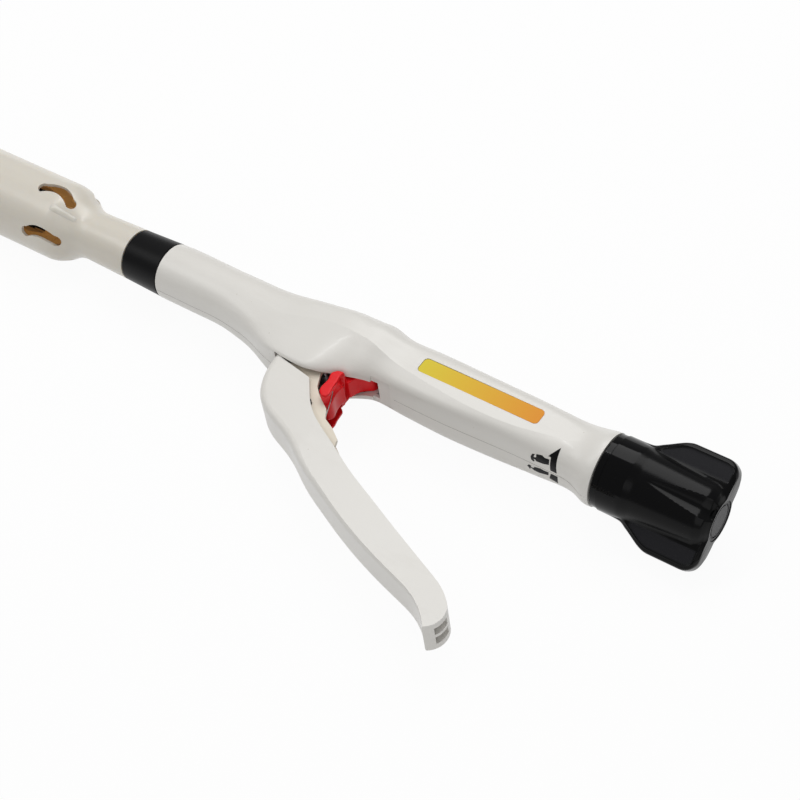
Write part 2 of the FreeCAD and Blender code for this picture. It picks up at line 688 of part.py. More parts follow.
def mouth_cutter():
    """Opening in the belly: wide at the lever, narrow at the safety catch."""
    curve = Part.BSplineCurve()
    curve.interpolate([vec(x, MOUTH_TOP_Y, z) for x, z in MOUTH_EDGE])
    corners = [vec(MOUTH_EDGE[-1][0], MOUTH_TOP_Y, MOUTH_EDGE[-1][1]), vec(MOUTH_END_X, MOUTH_TOP_Y, 0),
               vec(MOUTH_X, MOUTH_TOP_Y, 0), vec(MOUTH_X, MOUTH_TOP_Y, MOUTH_EDGE[0][1]),
               vec(MOUTH_EDGE[0][0], MOUTH_TOP_Y, MOUTH_EDGE[0][1])]
    lines = [Part.makeLine(a, b) for a, b in zip(corners, corners[1:])]
    face = Part.Face(Part.Wire(Part.__sortEdges__([curve.toShape()] + lines)))
    mouth = face.extrude(vec(0, -BIG, 0))
    rebate = block(REBATE_X, REBATE_END_X, -BIG, REBATE_TOP_Y, 0, REBATE_HALF)
    return mouth.fuse(rebate)


def label_outline(grow):
    x0 = LABEL_X - grow
    x1 = LABEL_END_X + grow
    y0 = LABEL_LOW_Y - grow
    y1 = LABEL_HIGH_Y + grow
    plate = block(x0, x1, y0, y1, 0, 1)
    upright = [e for e in plate.Edges if abs(e.Vertexes[0].Z - e.Vertexes[-1].Z) > 0.5]
    rounded = plate.makeFillet(LABEL_CORNER_R, upright)
    return max((f for f in rounded.Faces if abs(f.normalAt(0, 0).z) > 0.9), key=lambda f: f.CenterOfMass.z)


def label_plate():
    face = label_outline(-LABEL_PLAY)
    return face.translated(vec(0, 0, LABEL_FLOOR_Z - 1)).extrude(vec(0, 0, LABEL_THICK))


def handle_shell(is_upper):
    outer = half_loft(0.0, HANDLE_X, HANDLE_END_X)
    cavity = half_loft(SHELL_WALL, CAVITY_X, CAVITY_END_X)
    shell = outer.cut(cavity)
    extras = []
    for x in RIB_XS:
        extras.append(block(x, x + RIB_THICK, -BIG, BIG, 0, BIG))
    for x, y in ((PIVOT_X, PIVOT_Y), (CATCH_X, CATCH_Y)):
        extras.append(Part.makeCylinder(BOSS_R, BIG, vec(x, y, 0), Z_AXIS))
    inside = [piece.common(cavity) for piece in extras]
    shell = shell.fuse(inside)
    shell = shell.cut(mouth_cutter())
    shell = shell.cut(rod(HANDLE_X - 1, SPIGOT_END_X + RIB_CLEAR, FRONT_WALL_BORE_R))
    shell = shell.cut(rod(CLIP_X - RIB_CLEAR, BEARING_X - SCREW_PLAY, CLIP_R + RIB_CLEAR))
    shell = shell.cut(rod(SPIGOT_END_X, GUIDE_X, RIB_BORE_R))
    shell = shell.cut(rod(GUIDE_X, HANDLE_END_X + 1, BEARING_R + SCREW_PLAY))
    shell = shell.cut(cross_pin(PIVOT_X, PIVOT_Y, PIVOT_PIN_R + PIN_PLAY, PIVOT_PIN_HALF + PIN_PLAY))
    shell = shell.cut(cross_pin(CATCH_X, CATCH_Y, CATCH_PIN_R + PIN_PLAY, CATCH_PIN_HALF + PIN_PLAY))
    grown = SCREW_PLAY
    shell = shell.cut(block(GUIDE_X - grown, GUIDE_END_X + grown, -GUIDE_HALF_Y - grown,
                            GUIDE_HALF_Y + grown, 0, GUIDE_HALF_Z + grown))
    if is_upper:
        pocket = label_outline(0.0).translated(vec(0, 0, LABEL_FLOOR_Z - 1)).extrude(vec(0, 0, BIG))
        return shell.cut(pocket)
    return shell.mirror(ORIGIN, Z_AXIS)


def lever_pivot_pin():
    return cross_pin(PIVOT_X, PIVOT_Y, PIVOT_PIN_R, PIVOT_PIN_HALF)


def catch_pivot_pin():
    return cross_pin(CATCH_X, CATCH_Y, CATCH_PIN_R, CATCH_PIN_HALF)


# Lever

LEVER_OUTER = ((180.6, -24.4), (182.4, -31.6), (187.0, -39.6), (193.6, -44.6), (202.0, -48.2),
               (210.0, -52.2), (219.0, -58.0), (231.0, -64.2), (244.0, -70.2), (256.0, -75.0),
               (268.0, -79.0), (278.0, -81.9), (286.0, -84.6), (292.5, -88.6), (297.2, -93.4))
LEVER_INNER = ((203.4, -29.6), (212.0, -38.0), (224.6, -44.9), (237.8, -52.0), (250.8, -57.8),
               (263.2, -63.3), (275.2, -68.4), (286.8, -73.3), (293.6, -76.4), (298.4, -80.0))
LEVER_TOP = ((199.0, -23.9), (184.8, -21.3), (180.6, -19.9))


def curve_through(points):
    curve = Part.BSplineCurve()
    curve.interpolate([vec(*p) for p in points])
    return curve.toShape()


def lever_face():
    tip = Part.Arc(vec(*LEVER_OUTER[-1]), vec(301.2, -88.4), vec(*LEVER_INNER[-1]))
    top = [LEVER_INNER[0]] + list(LEVER_TOP) + [LEVER_OUTER[0]]
    lines = [Part.makeLine(vec(*a), vec(*b)) for a, b in zip(top, top[1:])]
    wire = Part.Wire(Part.__sortEdges__([curve_through(LEVER_OUTER), tip.toShape(),
                                         curve_through(LEVER_INNER)] + lines))
    return Part.Face(wire)


def shifted(points, amount):
    """The same line moved sideways to its left by an amount."""
    moved = []
    last = len(points) - 1
    for i, p in enumerate(points):
        a = points[max(i - 1, 0)]
        b = points[min(i + 1, last)]
        dx = b[0] - a[0]
        dy = b[1] - a[1]
        size = math.hypot(dx, dy)
        moved.append((p[0] - dy / size * amount, p[1] + dx / size * amount))
    return moved


def channel_face(floor, last_x):
    """Room inside the lever, open towards the handle."""
    line = [p for p in shifted(LEVER_OUTER, floor) if p[0] < last_x]
    end = line[-1]
    curve = curve_through(line)
    start = (line[0][0], 10.0)
    lines = [Part.makeLine(vec(*end), vec(end[0] + 6.0, 10.0)),
             Part.makeLine(vec(end[0] + 6.0, 10.0), vec(*start)),
             Part.makeLine(vec(*start), vec(*line[0]))]
    return Part.Face(Part.Wire(Part.__sortEdges__([curve] + lines)))


def lever_side_taper():
    """Cutters that thin the lever a little towards its tip."""
    profile = [vec(LEVER_TAPER_X, -BIG, LEVER_HALF), vec(LEVER_TIP_X, -BIG, LEVER_TIP_HALF),
               vec(LEVER_TIP_X, -BIG, LEVER_HALF + 5), vec(LEVER_TAPER_X, -BIG, LEVER_HALF + 5)]
    face = Part.Face(Part.makePolygon(profile + profile[:1]))
    top = face.extrude(vec(0, 2 * BIG, 0))
    return [top, top.mirror(ORIGIN, Z_AXIS)]


def outer_long_edges(shape):
    """The two long edges of the lever's outer band."""
    boxes = [(edge, edge.BoundBox) for edge in shape.Edges]
    return [e for e, box in boxes if box.XLength > 80 and box.ZLength < 1 and box.YMax > LEVER_INNER[0][1] + 1]


def lever_shell():
    body = slab(lever_face(), -LEVER_HALF, LEVER_HALF)
    body = body.makeFillet(LEVER_EDGE_R, outer_long_edges(body))
    for cutter in lever_side_taper():
        body = body.cut(cutter)
    body = body.cut(slab(channel_face(LEVER_FLOOR, 288.0), -LEVER_CHANNEL_HALF, LEVER_CHANNEL_HALF))
    for side in (1, -1):
        z0, z1 = sorted((side * TIP_POCKET_IN, side * TIP_POCKET_OUT))
        body = body.cut(block(TIP_POCKET_X, BIG, TIP_POCKET_LOW_Y, TIP_POCKET_HIGH_Y, z0, z1))
    for spot in RIVET_SPOTS:
        body = body.cut(cross_pin(spot[0], spot[1], RIVET_R + PIN_PLAY, LEVER_HALF - RIVET_SKIN))
    return body


def core_face():
    """Side plate of the inner channel, from the pivot down into the lever."""
    lower = [p for p in shifted(LEVER_OUTER, LEVER_FLOOR + CORE_GAP) if p[0] < 226.0]
    points = [(191.5, -7.6), (198.8, -7.6), (199.8, -11.0), (200.4, -18.6), (203.0, -24.6),
              (205.6, -27.1), (208.4, -29.2), (212.4, -31.8), (214.8, -35.8), (219.8, -38.2),
              (224.6, -41.6), (225.6, -44.6), (224.6, -51.0)]
    return polygon_face(points + list(reversed(lower)) + [(188.6, -19.0)])


def lever_core():
    plates = slab(core_face(), -CORE_HALF, CORE_HALF)
    room = slab(channel_face(LEVER_FLOOR + CORE_GAP + CORE_THICK, 290.0), -CORE_HALF + CORE_THICK,
                CORE_HALF - CORE_THICK)
    plates = plates.cut(room)
    open_top = block(0, BIG, -30.0, 10.0, -CORE_HALF + CORE_THICK, CORE_HALF - CORE_THICK)
    plates = plates.cut(open_top)
    plates = plates.cut(cross_pin(PIVOT_X, PIVOT_Y, PIVOT_PIN_R + PIN_PLAY, BIG))
    for spot in RIVET_SPOTS:
        plates = plates.cut(cross_pin(spot[0], spot[1], RIVET_R + PIN_PLAY, BIG))
    return plates


def core_rivets():
    """Short rivets that hold the inner channel's plates to the lever's walls."""
    made = []
    for x, y in RIVET_SPOTS:
        for side in (1, -1):
            inner = CORE_HALF - CORE_THICK
            head = Part.makeCylinder(RIVET_R, LEVER_HALF - RIVET_SKIN - SCREW_PLAY - inner,
                                     vec(x, y, inner), Z_AXIS)
            made.append(head if side > 0 else head.mirror(ORIGIN, Z_AXIS))
    return Part.makeCompound(made)


def fork_face():
    lean = math.radians(FORK_LEAN_DEG)
    tip_x = PIVOT_X + FORK_REACH * math.sin(lean)
    tip_y = PIVOT_Y + FORK_REACH * math.cos(lean)
    r = FORK_TIP_R
    boss = Part.Face(Part.Wire(Part.makeCircle(CORE_PIVOT_R, vec(PIVOT_X, PIVOT_Y, 0))))
    tip = Part.Face(Part.Wire(Part.makeCircle(r, vec(tip_x, tip_y, 0))))
    arm = polygon_face(((193.6, -8.6), (197.2, -5.3), (197.0, -3.0), (tip_x - r, tip_y), (tip_x + r, tip_y),
                        (tip_x + r, -2.0), (199.2, -8.0)))
    tail = polygon_face(((190.6, -12.0), (186.6, -26.5), (190.0, -29.4), (193.4, -26.5), (198.4, -14.0)))
    return boss, tip, arm, tail


def fork():
    """Two equal plates that straddle the rod and push the driver collar."""
    made = []
    for face in fork_face():
        made.append(slab(face, FORK_HALF - FORK_THICK, FORK_HALF))
    plate = made[0].fuse(made[1:]).removeSplitter()
    plate = plate.cut(cross_pin(PIVOT_X, PIVOT_Y, PIVOT_PIN_R + PIN_PLAY, BIG))
    plate = plate.cut(cross_pin(RIVET_SPOTS[0][0], RIVET_SPOTS[0][1], FORK_PIN_R + PIN_PLAY, BIG))
    return Part.makeCompound([plate, plate.mirror(ORIGIN, Z_AXIS)])


# Safety catch

def safety_catch():
    """Red catch: arm with a hub at its top and a finger wing on each side."""
    body = slab(smooth_face(CATCH_BODY), -CATCH_HALF, CATCH_HALF)
    hub = cross_pin(CATCH_X, CATCH_Y, CATCH_HUB_R, CATCH_HALF)
    bridge = slab(polygon_face(CATCH_BRIDGE), -WING_OUTER, WING_OUTER)
    body = body.fuse([hub, bridge, pair_of_slabs(smooth_face(CATCH_WING), WING_INNER, WING_OUTER)])
    return body.cut(cross_pin(CATCH_X, CATCH_Y, CATCH_PIN_R + PIN_PLAY, BIG))


def catch_spring():
    """Bent wire that lies on one side of the catch's arm."""
    z = CATCH_HALF + CATCH_SPRING_WIRE / 2
    points = [vec(x, y, z) for x, y in CATCH_SPRING]
    made = None
    for a, b in zip(points, points[1:]):
        leg = Part.makeCylinder(CATCH_SPRING_WIRE / 2, (b - a).Length, a, b - a)
        leg = leg.fuse(Part.makeSphere(CATCH_SPRING_WIRE / 2, b))
        made = leg if made is None else made.fuse(leg)
    return made


# Knob and its bearing

def rear_bearing():
    return tube(BEARING_X, BEARING_END_X, BEARING_R, SLEEVE_R + SCREW_PLAY)


def knob_retaining_clip():
    ring = tube(CLIP_X, CLIP_X + CLIP_THICK, CLIP_R, SLEEVE_R - CLIP_GROOVE + PIN_PLAY)
    return ring.cut(block(CLIP_X - 1, CLIP_X + CLIP_THICK + 1, 0, BIG, -CLIP_MOUTH / 2, CLIP_MOUTH / 2))


def screw_sleeve():
    """Threaded sleeve fixed in the knob; it turns on the lead screw."""
    body = tube(SLEEVE_X, SLEEVE_END_X, SLEEVE_R, SCREW_R + SCREW_PLAY)
    groove = tube(CLIP_X - PIN_PLAY, CLIP_X + CLIP_THICK + PIN_PLAY, SLEEVE_R + 1, SLEEVE_R - CLIP_GROOVE)
    body = body.cut(groove)
    return body.cut(turned(cross_pin(KNOB_PIN_X, 0, KNOB_PIN_R + PIN_PLAY, BIG), WING_TURN_DEG + 90))


def knob_pin():
    """Grub screws, one from each side, that hold the sleeve in the knob."""
    one = Part.makeCylinder(KNOB_PIN_R, KNOB_PIN_OUT - SCREW_R - KNOB_PIN_IN,
                            vec(KNOB_PIN_X, 0, SCREW_R + KNOB_PIN_IN), Z_AXIS)
    pair = Part.makeCompound([one, one.mirror(ORIGIN, Z_AXIS)])
    return turned(pair, WING_TURN_DEG + 90)


def wing_face():
    """Both wings in one outline, seen square to their flat faces."""
    r = WING_CORNER_R
    front = Part.BezierCurve()
    front.setPoles([vec(WING_X, KNOB_STEP_R - 0.6), vec(WING_X + 9.0, KNOB_STEP_R),
                    vec(WING_FACE_X - 5.6, WING_SPAN), vec(WING_FACE_X, WING_SPAN)])
    corner = Part.Arc(vec(KNOB_END_X - r, WING_SPAN), vec(KNOB_END_X - 0.29 * r, WING_SPAN - 0.29 * r),
                      vec(KNOB_END_X, WING_SPAN - r))
    half = [front.toShape(), Part.makeLine(vec(WING_FACE_X, WING_SPAN), vec(KNOB_END_X - r, WING_SPAN)),
            corner.toShape()]
    other = [edge.mirror(ORIGIN, vec(0, 1, 0)) for edge in half]
    top = WING_SPAN - r
    low = KNOB_STEP_R - 0.6
    closing = [Part.makeLine(vec(KNOB_END_X, top), vec(KNOB_END_X, -top)),
               Part.makeLine(vec(WING_X, low), vec(WING_X, -low))]
    return Part.Face(Part.Wire(Part.__sortEdges__(half + other + closing)))


def knob():
    hub = revolve((
        (KNOB_X, 0), (KNOB_X, KNOB_RIM_R), (KNOB_STEP_X, KNOB_RIM_R), (KNOB_STEP_X, KNOB_STEP_R),
        (KNOB_STEP_END_X, KNOB_STEP_R), (KNOB_STEP_END_X + 1.5, HUB_R), (HUB_END_X - 3.0, HUB_END_R),
        (HUB_END_X, HUB_END_R - 2.5), (HUB_END_X, 0),
    ))
    wings = slab(wing_face(), -WING_HALF_THICK, WING_HALF_THICK)
    flat = [e for e in wings.Edges if abs(e.BoundBox.ZLength) < 0.01 and e.BoundBox.XMax > WING_X + 1]
    wings = wings.makeFillet(WING_EDGE_R, flat)
    body = hub.fuse(wings)
    for side in (1, -1):
        cone = Part.makeCone(FLUTE_START_R, FLUTE_END_R, KNOB_END_X + 2 - FLUTE_X,
                             vec(FLUTE_X, 0, 0), X_AXIS)
        cone.translate(vec(0, 0, HUB_R + FLUTE_START_R * 0.6))
        cone.rotate(vec(FLUTE_X, 0, HUB_R), vec(0, 1, 0), FLUTE_TILT_DEG)
        if side < 0:
            cone = cone.mirror(ORIGIN, Z_AXIS)
        body = body.cut(cone)
    body = body.cut(rod(KNOB_X - 1, SLEEVE_END_X + SCREW_PLAY, KNOB_BORE_R))
    body = body.cut(rod(SLEEVE_END_X - 1, SLEEVE_END_X + 12, SCREW_R + 0.5))
    cap = rod(KNOB_END_X - KNOB_CAP_LEN, KNOB_END_X + 5, CAP_R + SCREW_PLAY)
    body = body.cut(cap)
    body = turned(body, WING_TURN_DEG)
    return body.cut(turned(cross_pin(KNOB_PIN_X, 0, KNOB_PIN_R + PIN_PLAY, KNOB_PIN_OUT + PIN_PLAY),
                           WING_TURN_DEG + 90))


def knob_end_cap():
    body = rod(KNOB_END_X - KNOB_CAP_LEN, KNOB_END_X - 0.3, CAP_R)
    return body.cut(tube(KNOB_END_X - 0.6, KNOB_END_X, CAP_R - 1.2, CAP_R - 1.8))


def save_merged(name, shape):
    """Save after merging faces that lie on one surface."""
    return save(name, shape.removeSplitter())


def build():
    save_merged("head_casing", head_casing())
    save_merged("front_ring", front_ring())
    save_merged("staple_cartridge", staple_cartridge())
    save_merged("staples", staples())
    save_merged("staple_pusher", staple_pusher())
    save_merged("ring_knife", ring_knife())
    save_merged("driver_tube", driver_tube())
    save_merged("driver_collar", driver_collar())
    save_merged("neck_bush", neck_bush())
    save_merged("driver_return_spring", driver_return_spring())
    save_merged("anvil_base", anvil_base())
    save_merged("anvil_cap", anvil_cap())
    save_merged("anvil_shaft", anvil_shaft())
    save_merged("cutting_washer", cutting_washer())
    save_merged("pull_rod", pull_rod())
    save_merged("lead_screw", lead_screw())
    save_merged("rod_cross_pin", rod_cross_pin())
    save_merged("screw_guide", screw_guide())
    save("handle_shell_upper", handle_shell(True))
    save("handle_shell_lower", handle_shell(False))
    save_merged("label_plate", label_plate())
    save_merged("lever_pivot_pin", lever_pivot_pin())
    save_merged("catch_pivot_pin", catch_pivot_pin())
    save_merged("lever_shell", lever_shell())
    save_merged("lever_core", lever_core())
    save_merged("lever_fork", fork())
    save_merged("core_rivets", core_rivets())
    save_merged("safety_catch", safety_catch())
    save_merged("catch_spring", catch_spring())
    save_merged("rear_bearing", rear_bearing())
    save_merged("knob_retaining_clip", knob_retaining_clip())
    save_merged("screw_sleeve", screw_sleeve())
    save_merged("knob_grub_screws", knob_pin())
    save_merged("knob", knob())
    save_merged("knob_end_cap", knob_end_cap())


build()
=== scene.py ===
# %% [markdown]
# This lesson dresses a circular stapler that was modelled in CAD: a staple head on a long
# neck, a two-shell handle with a lever and a red safety catch, and a black knob with two wings.
# The CAD model is loaded as a fixed frame and is never moved. Every finish here is a node
# material, and every extra piece sits on the CAD piece that carries it.

# %% Load the frame
import math
import bpy
import bmesh
from mathutils import Matrix, Vector
from mathutils.bvhtree import BVHTree


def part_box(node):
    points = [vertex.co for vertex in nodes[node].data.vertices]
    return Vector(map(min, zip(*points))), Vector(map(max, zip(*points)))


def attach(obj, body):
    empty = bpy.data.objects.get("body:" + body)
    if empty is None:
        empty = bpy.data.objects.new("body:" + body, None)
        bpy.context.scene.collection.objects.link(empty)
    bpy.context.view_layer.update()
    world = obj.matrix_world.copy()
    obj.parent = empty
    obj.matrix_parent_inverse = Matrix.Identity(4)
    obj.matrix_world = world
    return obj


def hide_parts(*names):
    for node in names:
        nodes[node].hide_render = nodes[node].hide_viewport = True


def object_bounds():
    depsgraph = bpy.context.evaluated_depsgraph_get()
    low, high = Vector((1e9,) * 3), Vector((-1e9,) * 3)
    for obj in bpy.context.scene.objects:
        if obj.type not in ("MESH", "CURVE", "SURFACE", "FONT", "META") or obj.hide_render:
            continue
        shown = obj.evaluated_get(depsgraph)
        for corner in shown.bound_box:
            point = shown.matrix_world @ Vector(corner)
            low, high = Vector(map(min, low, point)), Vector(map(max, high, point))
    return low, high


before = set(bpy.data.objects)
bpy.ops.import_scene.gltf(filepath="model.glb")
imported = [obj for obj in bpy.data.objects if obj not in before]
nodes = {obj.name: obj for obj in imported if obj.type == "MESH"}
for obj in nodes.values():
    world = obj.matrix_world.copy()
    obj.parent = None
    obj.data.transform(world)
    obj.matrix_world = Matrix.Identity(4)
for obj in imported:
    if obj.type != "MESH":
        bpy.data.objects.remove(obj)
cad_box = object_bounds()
MM = 0.001
print("nodes", len(nodes), "box", [[round(v, 4) for v in corner] for corner in cad_box])

# %% [markdown]
# The camera comes first, because every shape is judged through it. Its place was worked out
# from the photograph: the round ring and the knob's collar show as ellipses, and their flatness
# gives the angle between the line of sight and the instrument's axis. A camera can be aimed
# with a constraint, but a matrix from three unit vectors also fixes the roll, so that is used.

# %% Camera
AIM = Vector((228.0, -7.46, -4.66)) * MM
DISTANCE = 688.0 * MM
RIGHT = Vector((0.8204, 0.5624, -0.1037))
UP = Vector((-0.3818, 0.6736, 0.6328))
BACK = RIGHT.cross(UP).normalized()
camera_data = bpy.data.cameras.new("camera")
camera_data.sensor_width = 36.0
camera_data.lens = 81.0
camera = bpy.data.objects.new("camera", camera_data)
place = Matrix((RIGHT, UP, BACK)).transposed().to_4x4()
place.translation = AIM + BACK * DISTANCE
camera.matrix_world = place
bpy.context.scene.collection.objects.link(camera)
bpy.context.scene.camera = camera
bpy.context.scene.view_settings.view_transform = "Standard"
print("camera at", [round(v, 3) for v in place.translation])

# %% [markdown]
# Every piece and every material of this lesson starts the same way, so two short helpers make
# an object in the scene and an empty material with its output node.

# %% Helpers for objects and materials


def link_object(name, mesh):
    made = bpy.data.objects.new(name, mesh)
    bpy.context.scene.collection.objects.link(made)
    return made


def new_material(name):
    made = bpy.data.materials.new(name)
    made.use_nodes = True
    tree = made.node_tree
    tree.nodes.clear()
    out = tree.nodes.new("ShaderNodeOutputMaterial")
    return made, tree, out


# %% [markdown]
# The photograph is a product shot on white with hardly a shadow. A white floor could be lit
# until it clips, but then the instrument would clip too. Here the white is the floor's own
# light, seen by camera, mirror and glass rays only, so the lamps can stay at a plain level. A
# small share of plain diffuse keeps a faint soft shadow under the instrument.

# %% Floor
FLOOR_Z = cad_box[0].z - 0.0002
FLOOR_HALF = 6.0
SEEN_SHARE = 0.95


def seen_rays(tree):
    """1 for rays that see the background directly or in a mirror or glass."""
    path = tree.nodes.new("ShaderNodeLightPath")
    first = tree.nodes.new("ShaderNodeMath")
    first.operation = "MAXIMUM"
    second = tree.nodes.new("ShaderNodeMath")
    second.operation = "MAXIMUM"
    tree.links.new(path.outputs["Is Camera Ray"], first.inputs[0])
    tree.links.new(path.outputs["Is Glossy Ray"], first.inputs[1])
    tree.links.new(first.outputs[0], second.inputs[0])
    tree.links.new(path.outputs["Is Transmission Ray"], second.inputs[1])
    return second.outputs[0]


floor_mesh = bpy.data.meshes.new("floor")
floor_mesh.from_pydata([(x * FLOOR_HALF, y * FLOOR_HALF, FLOOR_Z)
                        for x, y in ((-1, -1), (1, -1), (1, 1), (-1, 1))], [], [(0, 1, 2, 3)])
floor = link_object("floor", floor_mesh)
floor_white, tree, out = new_material("floor_white")
diffuse = tree.nodes.new("ShaderNodeBsdfDiffuse")
diffuse.inputs["Color"].default_value = (0.80, 0.80, 0.80, 1)
seen = tree.nodes.new("ShaderNodeEmission")
seen.inputs["Color"].default_value = (1, 1, 1, 1)
seen.inputs["Strength"].default_value = 1.0
blend_shadow = tree.nodes.new("ShaderNodeMixShader")
share = tree.nodes.new("ShaderNodeMath")
share.operation = "MULTIPLY"
share.inputs[1].default_value = SEEN_SHARE
tree.links.new(seen_rays(tree), share.inputs[0])
tree.links.new(share.outputs[0], blend_shadow.inputs[0])
tree.links.new(diffuse.outputs[0], blend_shadow.inputs[1])
tree.links.new(seen.outputs[0], blend_shadow.inputs[2])
tree.links.new(blend_shadow.outputs[0], out.inputs[0])
floor.data.materials.append(floor_white)
print("floor at", round(FLOOR_Z, 4))

# %% [markdown]
# The world is a soft studio all round. It lights the instrument at a third of full white, and
# the camera sees it as plain white where the floor ends.

# %% World
WORLD_LIGHT = 0.33
world = bpy.data.worlds.new("studio")
bpy.context.scene.world = world
world.use_nodes = True
tree = world.node_tree
tree.nodes.clear()
out = tree.nodes.new("ShaderNodeOutputWorld")
plain = tree.nodes.new("ShaderNodeBackground")
plain.inputs["Color"].default_value = (1, 1, 1, 1)
plain.inputs["Strength"].default_value = WORLD_LIGHT
white = tree.nodes.new("ShaderNodeBackground")
white.inputs["Color"].default_value = (1, 1, 1, 1)
white.inputs["Strength"].default_value = 1.0
path = tree.nodes.new("ShaderNodeLightPath")
choose = tree.nodes.new("ShaderNodeMixShader")
tree.links.new(path.outputs["Is Camera Ray"], choose.inputs[0])
tree.links.new(plain.outputs[0], choose.inputs[1])
tree.links.new(white.outputs[0], choose.inputs[2])
tree.links.new(choose.outputs[0], out.inputs[0])
print("world", world.name)

# %% [markdown]
# Four area lamps stand round the instrument: a large key high on the far side, a weak fill
# from the knob's end, and a soft one over the head. The fourth is long and narrow. It is
# mirrored in the knob's collar as the bright line that the photograph shows there.

# %% Lamps


def add_lamp(name, spot, aim, size, watts, narrow=None):
    data = bpy.data.lights.new(name, "AREA")
    data.shape = "RECTANGLE" if narrow else "DISK"
    data.size = size
    data.size_y = narrow or size
    data.energy = watts
    lamp = bpy.data.objects.new(name, data)
    bpy.context.scene.collection.objects.link(lamp)
    lamp.location = spot
    lamp.rotation_euler = (Vector(aim) - Vector(spot)).to_track_quat("-Z", "Y").to_euler()
    return lamp


middle = (0.2, -0.01, 0.0)
add_lamp("key", (0.10, 0.55, 0.85), middle, 0.8, 5.0)
add_lamp("fill", (0.75, -0.75, 0.60), middle, 0.9, 1.8)
add_lamp("strip", (-0.35, -0.30, 0.80), middle, 0.5, 1.5)
collar_middle = (0.322, 0.0, 0.0)
add_lamp("spark", (-0.10, 0.095, 0.91), collar_middle, 0.36, 0.9, narrow=0.02)
print("lamps", [lamp.name for lamp in bpy.data.lights])

# %% [markdown]
# Most of this object is moulded plastic. Its finish needs three effects again and again: a
# fine grain from the mould, a slow drift of tone over a large part, and small specks and rubs
# from handling. Each is a node group with named inputs, built once. A group hands out only
# masks, tones and heights, and each material keeps its own Principled shader.

# %% Helpers for node groups


class Tree:
    """Short calls for building nodes and links."""

    def __init__(self, tree):
        self.tree = tree

    def node(self, kind, **settings):
        made = self.tree.nodes.new(kind)
        for name, value in settings.items():
            setattr(made, name, value)
        return made

    def link(self, source, target):
        self.tree.links.new(source, target)

    def math(self, operation, a, b=None):
        made = self.node("ShaderNodeMath", operation=operation)
        for slot, value in enumerate((a, b)):
            if value is None:
                continue
            if isinstance(value, (int, float)):
                made.inputs[slot].default_value = value
            else:
                self.link(value, made.inputs[slot])
        return made.outputs[0]


def new_group(name, inputs, outputs):
    group = bpy.data.node_groups.new(name, "ShaderNodeTree")
    for label, kind, value in inputs:
        socket = group.interface.new_socket(label, in_out="INPUT", socket_type=kind)
        if value is not None:
            socket.default_value = value
    for label, kind in outputs:
        group.interface.new_socket(label, in_out="OUTPUT", socket_type=kind)
    tools = Tree(group)
    start = group.nodes.new("NodeGroupInput")
    end = group.nodes.new("NodeGroupOutput")
    return group, tools, start.outputs, end.inputs


FLOAT = "NodeSocketFloat"
VECTOR = "NodeSocketVector"

# %% [markdown]
# The grain group gives two values. A fine noise is the texture of the mould's own surface and
# goes to the bump. A slow noise is the drift of tone over a large part and mixes two colours.

# %% Group: moulded grain
moulded_grain, t, given, result = new_group(
    "moulded_grain",
    (("Vector", VECTOR, None), ("Grain Scale", FLOAT, 2200.0), ("Drift Scale", FLOAT, 14.0)),
    (("Height", FLOAT), ("Drift", FLOAT)))
fine = t.node("ShaderNodeTexNoise", noise_dimensions="3D")
fine.inputs["Detail"].default_value = 2.0
t.link(given["Vector"], fine.inputs["Vector"])
t.link(given["Grain Scale"], fine.inputs["Scale"])
slow = t.node("ShaderNodeTexNoise", noise_dimensions="3D")
slow.inputs["Detail"].default_value = 3.0
t.link(given["Vector"], slow.inputs["Vector"])
t.link(given["Drift Scale"], slow.inputs["Scale"])
t.link(fine.outputs["Fac"], result["Height"])
t.link(slow.outputs["Fac"], result["Drift"])

# %% [markdown]
# Specks are the rare cells of a Voronoi texture that lie near the middle of their cell. Rubs
# are a rough noise, stretched along the instrument, because a hand slides along it.

# %% Group: handling marks
RARE_CELLS = 0.86
handling_marks, t, given, result = new_group(
    "handling_marks",
    (("Vector", VECTOR, None), ("Speck Scale", FLOAT, 260.0), ("Speck Size", FLOAT, 0.07),
     ("Rub Scale", FLOAT, 40.0)),
    (("Specks", FLOAT), ("Rubs", FLOAT)))
cells = t.node("ShaderNodeTexVoronoi", feature="F1")
t.link(given["Vector"], cells.inputs["Vector"])
t.link(given["Speck Scale"], cells.inputs["Scale"])
near = t.math("LESS_THAN", cells.outputs["Distance"], given["Speck Size"])
pick = t.node("ShaderNodeSeparateColor")
t.link(cells.outputs["Color"], pick.inputs[0])
rare = t.math("GREATER_THAN", pick.outputs[0], RARE_CELLS)
t.link(t.math("MULTIPLY", near, rare), result["Specks"])
stretch = t.node("ShaderNodeMapping")
stretch.inputs["Scale"].default_value = (0.35, 1.6, 1.6)
t.link(given["Vector"], stretch.inputs["Vector"])
rub = t.node("ShaderNodeTexNoise")
rub.inputs["Detail"].default_value = 6.0
rub.inputs["Roughness"].default_value = 0.7
t.link(stretch.outputs[0], rub.inputs["Vector"])
t.link(given["Rub Scale"], rub.inputs["Scale"])
ramp = t.node("ShaderNodeMapRange")
ramp.inputs["From Min"].default_value = 0.52
ramp.inputs["From Max"].default_value = 0.72
t.link(rub.outputs["Fac"], ramp.inputs["Value"])
t.link(ramp.outputs[0], result["Rubs"])

# %% [markdown]
# A turned piece has fine rings round its axis. A noise that reads only the place along the
# axis gives them, and a second noise shifts the tone.

